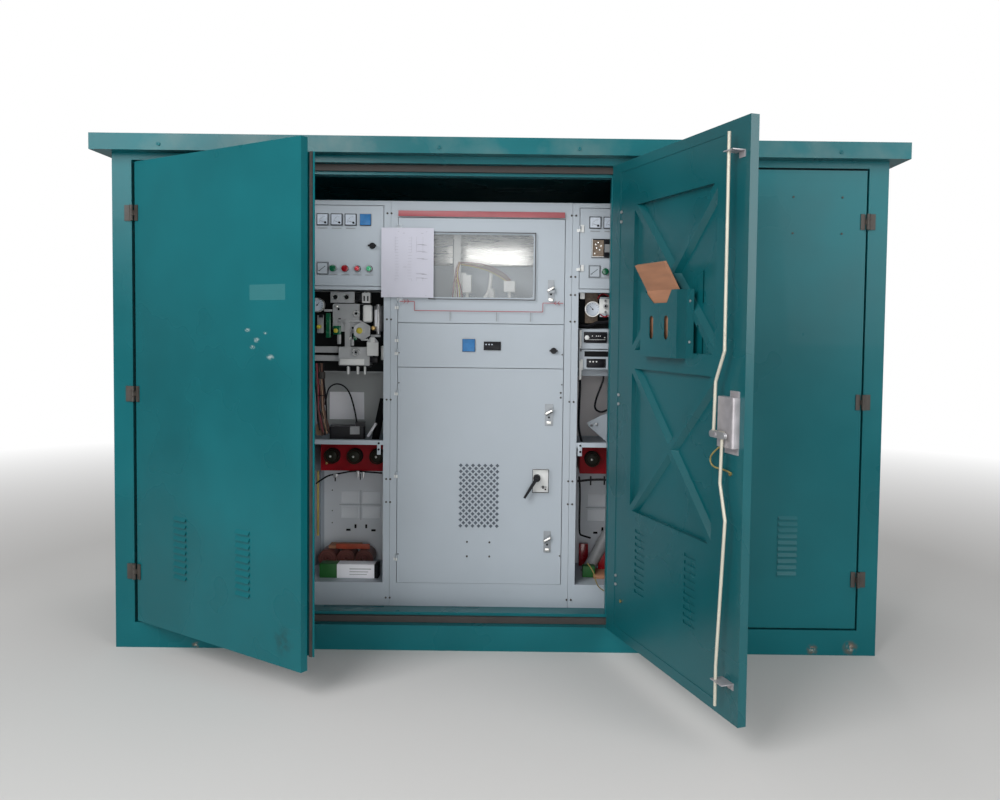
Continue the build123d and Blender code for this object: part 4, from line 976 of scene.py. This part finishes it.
def gauge_faces():
    """The dials of both gas gauges, with their scale, hand and hub."""
    dials, hands = [], []
    for i, (x, z, radius, front) in enumerate(((-786, 1361, 26, FACE + 90), (382, 1357, 29, FACE + 70))):
        dial = rod(f"gauge_dial_{i}", (x, front, z), radius, 2.4, FRONT, 40)
        in_edit(dial, FRONT, lambda: inset(1.2, -0.4))
        dials.append(dial)
        for step in range(11):
            tick = block("tick", (-0.6, front - 1.8, radius - 7), (0.6, front - 0.9, radius - 3))
            hands.append(turned(tick, (x, 0, z), -120 + step * 24))
        hand = block("hand", (-0.9, front - 2.4, -6), (0.9, front - 1.6, radius - 12))
        turned(hand, (x, 0, z), 38 - 80 * i)
        hub = rod("hub", (x, front - 1.8, z), 3.2, 2.4, FRONT, 20)
        hands += [hand, domed(hub, FRONT, 0.8, 0.6)]
    settle(joined("gauge_dials", *dials), "dial white")
    settle(joined("gauge_hands", *hands), "black plastic", smooth=0)
    rims = [ring("rim", (x, front, z), radius, 2.6) for x, z, radius, front in (
        (-786, 1361, 28, FACE + 89), (382, 1357, 31, FACE + 69))]
    settle(joined("gauge_rims", *rims), "bright steel")


def bay_back(side, x0, x1, columns):
    """The bays' pale back sheet, with raised squares low down and the seams of its edge."""
    tiles(f"bay_back_{side}", "bay pale", [(x0, x1, 200, 640, 352.4, 354)], 0)
    upper_look = "bay grey" if side == "left" else "bay warm"
    tiles(f"bay_upper_back_{side}", upper_look, [(x0, x1, 786, 1066, 352.4, 354)], 0)
    for x in columns:
        for z, rise in ((464, 55), (395, 53)):
            plate(f"embossed_{side}", "bay white", "kiosk",
                  (x, FACE + 349, z), (x + 81, FACE + 353, z + rise), 4, -1, 1.2)
    low, high, left, right = 386, 524, columns[0] - 9, columns[1] + 86
    middle = columns[1] - 8
    tiles(f"bay_seams_{side}", "filter mat", [
        (left, right, 455.5, 457, 351.6, 353), (middle, middle + 1.5, low, high, 351.6, 353),
    ], 0)


def bushing_centres(side, x0):
    """Inner cup, metal tip and lip of each of the three bushings."""
    spots = [x0 + shift for shift in (53, 151, 249)]
    studs(f"bushing_cups_{side}", "cup olive", [(x, 712, 113, 22, 6) for x in spots], cap=0.12)
    studs(f"bushing_tips_{side}", "bright steel", [(x - 3, 712, 108, 5, 8) for x in spots], cap=0.4)
    lips = [ring("lip", (x, FACE + 117, 712), radius, 2.4, sides=40) for x in spots for radius in (24, 31)]
    settle(joined(f"bushing_lips_{side}", *lips), "cup olive")


def back_slots(side, middle):
    """Four short slots in a shallow arc, low in the bay's back."""
    tiles(f"back_slots_{side}", "dark parts and painted shade", [
        (middle - 67, middle - 47, 335, 345, 350, 353), (middle - 29, middle - 20, 348, 366, 350, 353),
        (middle + 20, middle + 29, 348, 366, 350, 353), (middle + 48, middle + 68, 334, 344, 350, 353),
    ], 3)


def relay_rack():
    """Hub with red arcs, relay faces with their marks, hinges and rack screws, over a near black sheet of
    painted shade.
    """
    # Painted shade: a near black sheet over the back of the bay.
    tiles("bay_painted_shade_right", "dark parts and painted shade", [(298, 640, 1276, 1421, 115, 117)], 0)
    tiles("drive_backing", "board brown", [(352, 406, 1298, 1427, 108, 112)], 3)
    tiles("hub_face", "white plastic", [(409, 457, 1338, 1401, 55, 59)], 3)
    studs("hub_parts", "plate grey", [
        (434, 1392, 50, 6, 6), (434, 1346, 50, 5, 6), (434, 1370, 46, 10, 10), (478, 1388, 58, 5, 5),
    ])
    studs("hub_pins", "dark parts and painted shade", [
        (434, 1370, 41, 4.5, 6), (434, 1392, 47, 2.2, 4), (434, 1346, 47, 2.2, 4),
    ])
    arcs = [wire("arc", [(402, -338, 1400), (410, -338, 1418), (432, -338, 1424), (452, -338, 1410)], 3.4),
            wire("arc", [(414, -338, 1336), (424, -338, 1326), (446, -338, 1326), (458, -338, 1340)], 3.4)]
    settle(joined("hub_arcs", *arcs), "signal red")
    tiles("hub_red_parts", "signal red", [
        (438, 458, 1400, 1406, 60, 70), (436, 458, 1328, 1336, 60, 70),
    ], 1.5)
    settle(wire("mechanism_hose", [
        (328, -315, 1292), (352, -318, 1282), (380, -316, 1290), (404, -314, 1304), (428, -316, 1300),
        (470, -316, 1312),
    ], 6), "black plastic")
    tiles("relay_faces", "black plastic", [(345, 443, 1217, 1261, 43, 50), (358, 431, 1113, 1146, 43, 50)], 1)
    marks = [(x, x + 4, 1242, 1246, 42, 44) for x in (379, 396, 404, 412)]
    marks += [(352, 436, 1228, 1229.4, 42, 44), (430, 435, 1236, 1240, 42, 44)]
    tiles("relay_marks", "white plastic", marks, 0)
    dots = [(x, 1136, 40, 3.4, 4) for x in (373, 386, 400)]
    studs("relay_knobs", "white plastic", [(358, 1237, 30, 9.5, 14), *dots])
    tiles("rack_window", "dark parts and painted shade", [(349, 449, 1157, 1180, 48, 52)], 1)
    tiles("rack_hinges", "white plastic", [
        (327, 336, 1194, 1270, 36, 49), (331, 343, 1100, 1146, 40, 49), (327, 337, 1060, 1140, 36, 44),
        (326, 346, 1398, 1434, 30, 34),
    ], 2)
    edge = [(x, FACE + 50, z) for z in (1182, 1112, 1262, 1198) for x in (334, 614)]
    settle(screw_heads("rack_screws", edge, 3.4), "dark hinge")


def right_cables():
    """The black cable's loop, bushing centres, embossed back and the stored things."""
    settle(wire("side_cable", [
        (438, -265, 1100), (438, -265, 1060), (430, -268, 1035), (412, -268, 990), (400, -268, 945),
        (405, -268, 925), (427, -266, 914), (448, -264, 920), (466, -262, 932), (540, -250, 965),
        (628, -240, 985),
    ], 4.4), "black plastic")
    settle(wire("door_cable", [
        (331, -330, 1100), (334, -330, 1035), (331, -330, 950), (328, -330, 860), (340, -326, 806),
        (346, -322, 786),
    ], 5), "black plastic")
    studs("gusset_bolt", "zinc", [(410, 862, 138, 6, 8)])
    bushing_centres("right", 341)
    settle(wire("bay_cable_right", [
        (330, -280, 616), (360, -280, 620), (388, -280, 623), (430, -280, 625), (500, -280, 622),
        (632, -280, 620),
    ], 5), "black plastic")
    tiles("cable_clips_right", "black plastic", [
        (384, 391, 600, 640, 112, 120), (443, 450, 602, 640, 112, 120),
    ], 2)
    settle(wire("edge_cable", [
        (336, -300, 640), (342, -300, 600), (341, -300, 495), (340, -300, 392), (352, -300, 384),
        (390, -290, 372),
    ], 4), "black plastic")
    bay_back("right", 318, 632, (390, 486))
    back_slots("right", 484)
    lean = Vector((0.48, 0.1, 0.87)).normalized()
    roll = rod("leaning_roll", (424, -205, 284), 27, 200, lean, 28)
    settle(rounded(panelled(roll, lean, 5, -3), 1.2), "grey plastic")
    wrap = rod("leaning_tube", (446, -188, 318), 18, 180, lean, 28)
    settle(rounded(wrap, 1.2), "white plastic")
    tiles("stored_red", "signal red", [(350, 392, 199, 300, 300, 330), (430, 500, 214, 316, 190, 230)], 3)
    tiles("stored_green", "carton green", [(358, 412, 199, 248, 110, 150)], 3)
    tiles("stored_board", "brown card", [(404, 560, 199, 214, 90, 220)], 2)
    tiles("shelf_bracket_right", "cubicle paint", [(324, 342, 742, 797, -1, 3)], 1)
    studs("bracket_holes_right", "dark parts and painted shade", [(335, 786, -2, 4.5, 2), (335, 760, -2, 4.5, 2)])


class KIOSK_OT_right_bays(bpy.types.Operator):
    """Small parts and cables in the right cubicle's bays"""

    bl_idname = "kiosk.right_bays"
    bl_label = "Right bays"

    def execute(self, context):
        """Adds the mechanism's small parts, the cable loop and the loose things."""
        relay_rack()
        right_cables()
        return {"FINISHED"}


def window_wires():
    """Red and yellow wires that drop behind the bar, and the ones that cross to the terminals."""
    for i, colour in enumerate(("wire red", "earth green", "wire red", "wire yellow", "wire red")):
        settle(wire(f"drop_wire_{i}", [
            (-192 + 2 * i, -240, 1556), (-202 + 2 * i, -244, 1532), (-208 + 3 * i, -246, 1490),
            (-216 + 9 * i, -246, 1440), (-218 + 11 * i, -244, 1388),
        ], 2.6), colour)
        if i < 4:
            settle(wire(f"cross_wire_{i}", [
                (-190, -216, 1556 - 3 * i), (-130, -214, 1556 - 6 * i), (-60, -212, 1541 - 7 * i),
                (8, -210, 1508 - 9 * i), (30, -208, 1480 - 6 * i),
            ], 1.7), colour)


class KIOSK_OT_window_inside(bpy.types.Operator):
    """Tank front, wires and terminals behind the window"""

    bl_idname = "kiosk.window_inside"
    bl_label = "Behind the window"

    def execute(self, context):
        """Adds the bright tank, its bar and the wiring."""
        tank = block("tank_front", (-420, -98, 1548), (250, -94, 1692))
        in_edit(tank, FRONT, lambda: inset(12, 3))
        settle(rounded(tank, 1.5), "bright steel")
        plate("tank_apron", "cubicle paint", "kiosk", (-420, -104, 1390), (250, -98, 1546), 14, 2.5, 1.5)
        plate("window_bar", "grey plastic", "kiosk", (-222, -212, 1500), (-206, -203, 1655), 3, 1, 1)
        window_wires()
        for i, (x0, z0, x1, z1) in enumerate(((2, 1430, 50, 1476), (-199, 1456, -164, 1512))):
            plate(f"terminal_{i}", "white plastic", "kiosk", (x0, -206, z0), (x1, -190, z1), 5, -3, 1.5)
        tube = [(-55, -196, 1512), (-56, -196, 1470), (-64, -197, 1425), (-85, -198, 1398)]
        settle(wire("white_tube", tube, 8), "white plastic")
        return {"FINISHED"}


def sheet_bow(spot):
    """How far the record sheet stands forward of its plane, in metres, as it bows and ripples."""
    across = (spot.x * 1000 - SHEET_MIDDLE_X) / SHEET_HALF_WIDTH
    return 0.0035 * (1 - across * across) + 0.0015 * math.sin(spot.z * 18)


class KIOSK_OT_papers(bpy.types.Operator):
    """The blank record sheet taped to the upright and the window door"""

    bl_idname = "kiosk.papers"
    bl_label = "Record sheet"

    def execute(self, context):
        """Adds the sheet with its bare table and two tapes."""
        front = door_front()
        sheet = block("record_sheet", (-497, front - 3.2, 1394), (-281, front - 2.8, 1680))
        in_edit(sheet, None, lambda: bpy.ops.mesh.subdivide(number_cuts=10))
        for corner in sheet.data.vertices:
            corner.co.y -= sheet_bow(corner.co)
        settle(sheet, "paper", None)
        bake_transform(sheet)
        rows = [(-470 + shift, -470 + shift + wide, z, z + 1.6) for shift, wide, z in (
            (42, 120, 1664), (62, 84, 1657), (120, 30, 1611), (140, 22, 1609), (120, 34, 1583),
            (142, 20, 1580), (120, 30, 1554), (140, 24, 1551), (64, 14, 1518), (118, 34, 1491),
            (140, 22, 1489), (118, 30, 1474), (140, 24, 1472), (0, 160, 1402))]
        rows += [(-440, -372, z, z + 0.8) for z in range(1470, 1640, 12)]
        rows += [(x, x + 0.8, 1462, 1644) for x in (-440, -372, -352, -326)]
        lines = [block("line", (x0, front - 8.4, z0), (x1, front - 8, z1)) for x0, x1, z0, z1 in rows]
        print_lines = joined("sheet_print", *lines)
        for corner in print_lines.data.vertices:
            corner.co.y = front / 1000 - 0.0034 - sheet_bow(corner.co)
        settle(print_lines, "faint print", None, smooth=0)
        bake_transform(print_lines)
        tapes = block("sheet_tapes", (-432, front - 4.6, 1668), (-409, front - 3.9, 1692))
        in_edit(tapes, None, lambda: bpy.ops.mesh.subdivide(number_cuts=2))
        settle(copies(tapes, [(-432, 0, 0), (-432, 0, -288)]), "clear sheet", "window_cover")
        return {"FINISHED"}


class KIOSK_OT_door_hardware(bpy.types.Operator):
    """Bolts and screws of the three doors and their hinges"""

    bl_idname = "kiosk.door_hardware"
    bl_label = "Door hardware"

    def execute(self, context):
        """Adds each door's fixings on its own leaf."""
        lip = [(-83, 28, z) for z in (1711, 1675, 1027, 993, 339, 305)]
        settle(screw_heads("middle_hinge_bolts", lip, 6, BACK), "zinc", "door_middle", ON_MIDDLE_DOOR)
        pocket = [(-608, 28, z) for z in (1368, 1236)]
        settle(screw_heads("pocket_screws", pocket, 4.5, BACK), "zinc", "door_middle", ON_MIDDLE_DOOR)
        doors = (("left", ON_LEFT_DOOR, 1), ("middle", ON_MIDDLE_DOOR, -1), ("right", ON_RIGHT_DOOR, -1))
        for side, place, turn in doors:
            for column in (274, 634):
                low, high = sorted((turn * (column - 40), turn * (column + 40)))
                lining = block(f"vent_lining_{side}_{column}", (low, 20, 310), (high, 22.6, 560))
                # The middle door's linings take its darkened paint: painted shade.
                settle(lining, "middle door paint with painted shade" if side == "middle" else "kiosk paint", f"door_{side}", place)
        eyes = [(x, -651, z) for x in (1129, 1318) for z in (1791, 1652)]
        settle(screw_heads("right_leaf_screws", eyes, 4), "dark hinge", "door_right")
        return {"FINISHED"}


class KIOSK_OT_earth_leads(bpy.types.Operator):
    """Green and yellow earth leads of the middle door"""

    bl_idname = "kiosk.earth_leads"
    bl_label = "Earth leads"

    def execute(self, context):
        """Adds the looped lead by the lock and the one from the right cubicle across the hinge."""
        settle(wire("lock_earth_lead", [
            (-808, 32, 923), (-785, 38, 905), (-771, 42, 886), (-776, 42, 868), (-792, 38, 859),
            (-820, 36, 858), (-848, 34, 858), (-876, 32, 853),
        ], 2.6), "earth green", "door_middle", ON_MIDDLE_DOOR)
        low_lead = wire("hinge_earth_lead", [
            (374, -372, 282), (383, -392, 276), (400, -406, 250), (407, -425, 218), (417, -470, 206),
            (439, -560, 216), (457, -670, 236), (468, -745, 249), (476, -792, 252),
        ], 2.4)
        settle(low_lead, "earth green", None)
        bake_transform(low_lead)
        lugs = [rod("lug", (x, 30, z), 6, 4, BACK, 20) for x, z in ((-867, 849), (-810, 924), (-128, 252))]
        settle(joined("lock_earth_lugs", *lugs), "brass", "door_middle", ON_MIDDLE_DOOR)
        return {"FINISHED"}


# Studio


def place_camera(context, look):
    """The lens and place that give the photograph's frame."""
    data = bpy.data.cameras.new("Camera")
    data.lens = look.lens
    data.shift_x, data.shift_y = CAMERA_SHIFT
    turn = Matrix.Identity(3)
    for degrees, axis in CAMERA_TURNS:
        turn = turn @ Matrix.Rotation(math.radians(degrees), 3, axis)
    right, ahead, up = (turn @ axis for axis in (RIGHT, BACK, UP))
    camera = bpy.data.objects.new("Camera", data)
    camera.matrix_world = Matrix.Translation(metres(*CAMERA_PLACE)) @ Matrix(
        (right, up, -ahead)).transposed().to_4x4()
    context.collection.objects.link(camera)
    context.scene.camera = camera


def place_lamps(context, look):
    """Large soft lamps: above the front left, the front right, and behind."""
    places = (
        ("Key", (-2.6, -4.6, 3.6), 3.2, look.key_power),
        ("Fill", (3.4, -4.2, 2.6), 3.0, look.key_power * 0.45),
        ("Low", (0.2, -5.2, 1.0), 2.6, look.key_power * 0.3),
        ("Back", (0.5, 4.5, 3.8), 3.5, look.key_power * 0.5),
    )
    for name, spot, size, power in places:
        data = bpy.data.lights.new(name, "AREA")
        data.energy = power
        data.size = size
        lamp = bpy.data.objects.new(name, data)
        aim = Vector(LAMP_AIM) - Vector(spot)
        turn = aim.to_track_quat("-Z", "Y").to_matrix().to_4x4()
        lamp.matrix_world = Matrix.Translation(Vector(spot)) @ turn
        context.collection.objects.link(lamp)


def lay_floor(look):
    """A pale floor that runs out of sight."""
    clear_selection()
    bpy.ops.mesh.primitive_plane_add(size=60)
    ground = named("studio_floor")
    tree, shader, place = begin_finish("studio floor")
    shader.inputs["Roughness"].default_value = 0.9
    tint = blend_colours(tree, grain(tree, place, 0.4), [c * 0.97 for c in look.floor], look.floor)
    tree.links.new(tint, shader.inputs["Base Color"])
    distance = add(tree, "VectorMath", operation="LENGTH")
    tree.links.new(place, distance.inputs[0])
    seen = add(tree, "LightPath").outputs["Is Camera Ray"]
    fade = times(tree, spread(tree, distance.outputs["Value"], 0, 1, *FLOOR_FADE), seen)
    glow = add(tree, "Emission")
    mix = add(tree, "MixShader")
    tree.links.new(fade, mix.inputs[0])
    tree.links.new(shader.outputs["BSDF"], mix.inputs[1])
    tree.links.new(glow.outputs[0], mix.inputs[2])
    tree.links.new(mix.outputs[0], tree.nodes["Material Output"].inputs["Surface"])
    ground.data.materials.append(FINISHES["studio floor"])


def light_sky(context, look):
    """Plain soft light all round, seen as white behind the object and in its gloss."""
    world = bpy.data.worlds.new("Studio")
    context.scene.world = world
    world.use_nodes = True
    tree = world.node_tree
    tree.nodes.clear()
    out = add(tree, "OutputWorld")
    light = add(tree, "Background", strength=look.sky_strength)
    white = add(tree, "Background", strength=1.0)
    white.inputs["Color"].default_value = (1, 1, 1, 1)
    path = add(tree, "LightPath")
    seen = add(tree, "Math", operation="MAXIMUM")
    tree.links.new(path.outputs["Is Camera Ray"], seen.inputs[0])
    tree.links.new(path.outputs["Is Transmission Ray"], seen.inputs[1])
    mix = add(tree, "MixShader")
    tree.links.new(seen.outputs[0], mix.inputs[0])
    tree.links.new(light.outputs[0], mix.inputs[1])
    tree.links.new(white.outputs[0], mix.inputs[2])
    tree.links.new(mix.outputs[0], out.inputs["Surface"])
    context.scene.view_settings.view_transform = "Standard"


class KIOSK_OT_studio(bpy.types.Operator):
    """Camera at the photograph's viewing angle, soft lamps and a plain pale floor"""

    bl_idname = "kiosk.studio"
    bl_label = "Studio"

    def execute(self, context):
        """Sets the camera, then the lamps and the floor."""
        look = context.scene.kiosk_studio
        place_camera(context, look)
        place_lamps(context, look)
        lay_floor(look)
        light_sky(context, look)
        return {"FINISHED"}


# Settings, panel and registration


def colour(name, description, value):
    """A colour a user may change."""
    return FloatVectorProperty(
        name=name, description=description, default=value, subtype="COLOR", min=0, max=1, size=3
    )


class KioskColours(bpy.types.PropertyGroup):
    """Colours of the kiosk and its cubicles"""

    kiosk: colour("Kiosk", "Paint of the kiosk and its doors", (0.003, 0.108, 0.126))
    cubicle: colour("Cubicles", "Paint of the cubicles", (0.40, 0.45, 0.50))
    stripe: colour("Stripe", "Band and diagram on the window door", (0.36, 0.085, 0.1))
    card: colour("Card", "Folder and carton", (0.36, 0.17, 0.095))


class KioskStudio(bpy.types.PropertyGroup):
    """Camera, lamps and floor"""

    lens: FloatProperty(
        name="Lens", description="Focal length", default=32.69, min=10, max=200, unit="CAMERA"
    )
    key_power: FloatProperty(name="Key", description="Power of the main lamp in watts", default=210, min=0)
    sky_strength: FloatProperty(name="Sky", description="Strength of the light all round", default=0.4, min=0)
    floor: colour("Floor", "Colour of the floor", (0.62, 0.61, 0.6))


STEPS = (
    KIOSK_OT_finishes, KIOSK_OT_roof_trim, KIOSK_OT_front_trim, KIOSK_OT_instruments, KIOSK_OT_lower_front,
    KIOSK_OT_left_bays, KIOSK_OT_right_bays, KIOSK_OT_window_inside, KIOSK_OT_papers, KIOSK_OT_door_hardware,
    KIOSK_OT_earth_leads, KIOSK_OT_studio,
)


class KIOSK_PT_sidebar(bpy.types.Panel):
    """The steps of dressing the kiosk, in order"""

    bl_idname = "KIOSK_PT_sidebar"
    bl_label = "Kiosk"
    bl_space_type = "VIEW_3D"
    bl_region_type = "UI"
    bl_category = "Kiosk"

    def draw(self, context):
        """Lists the colours, the studio's settings and each step."""
        for group in (context.scene.kiosk_colours, context.scene.kiosk_studio):
            for name in group.__annotations__:
                self.layout.prop(group, name)
        for step in STEPS:
            self.layout.operator(step.bl_idname)


CLASSES = (KioskColours, KioskStudio, *STEPS, KIOSK_PT_sidebar)


def register():
    """Registers the classes and the settings."""
    for item in CLASSES:
        bpy.utils.register_class(item)
    bpy.types.Scene.kiosk_colours = PointerProperty(type=KioskColours)
    bpy.types.Scene.kiosk_studio = PointerProperty(type=KioskStudio)


def unregister():
    """Takes the settings and the classes away."""
    del bpy.types.Scene.kiosk_studio
    del bpy.types.Scene.kiosk_colours
    for item in reversed(CLASSES):
        bpy.utils.unregister_class(item)


def main():
    """Dresses the kiosk step by step."""
    register()
    for step in STEPS:
        group, name = step.bl_idname.split(".")
        getattr(getattr(bpy.ops, group), name)()


if __name__ == "__main__":
    main()
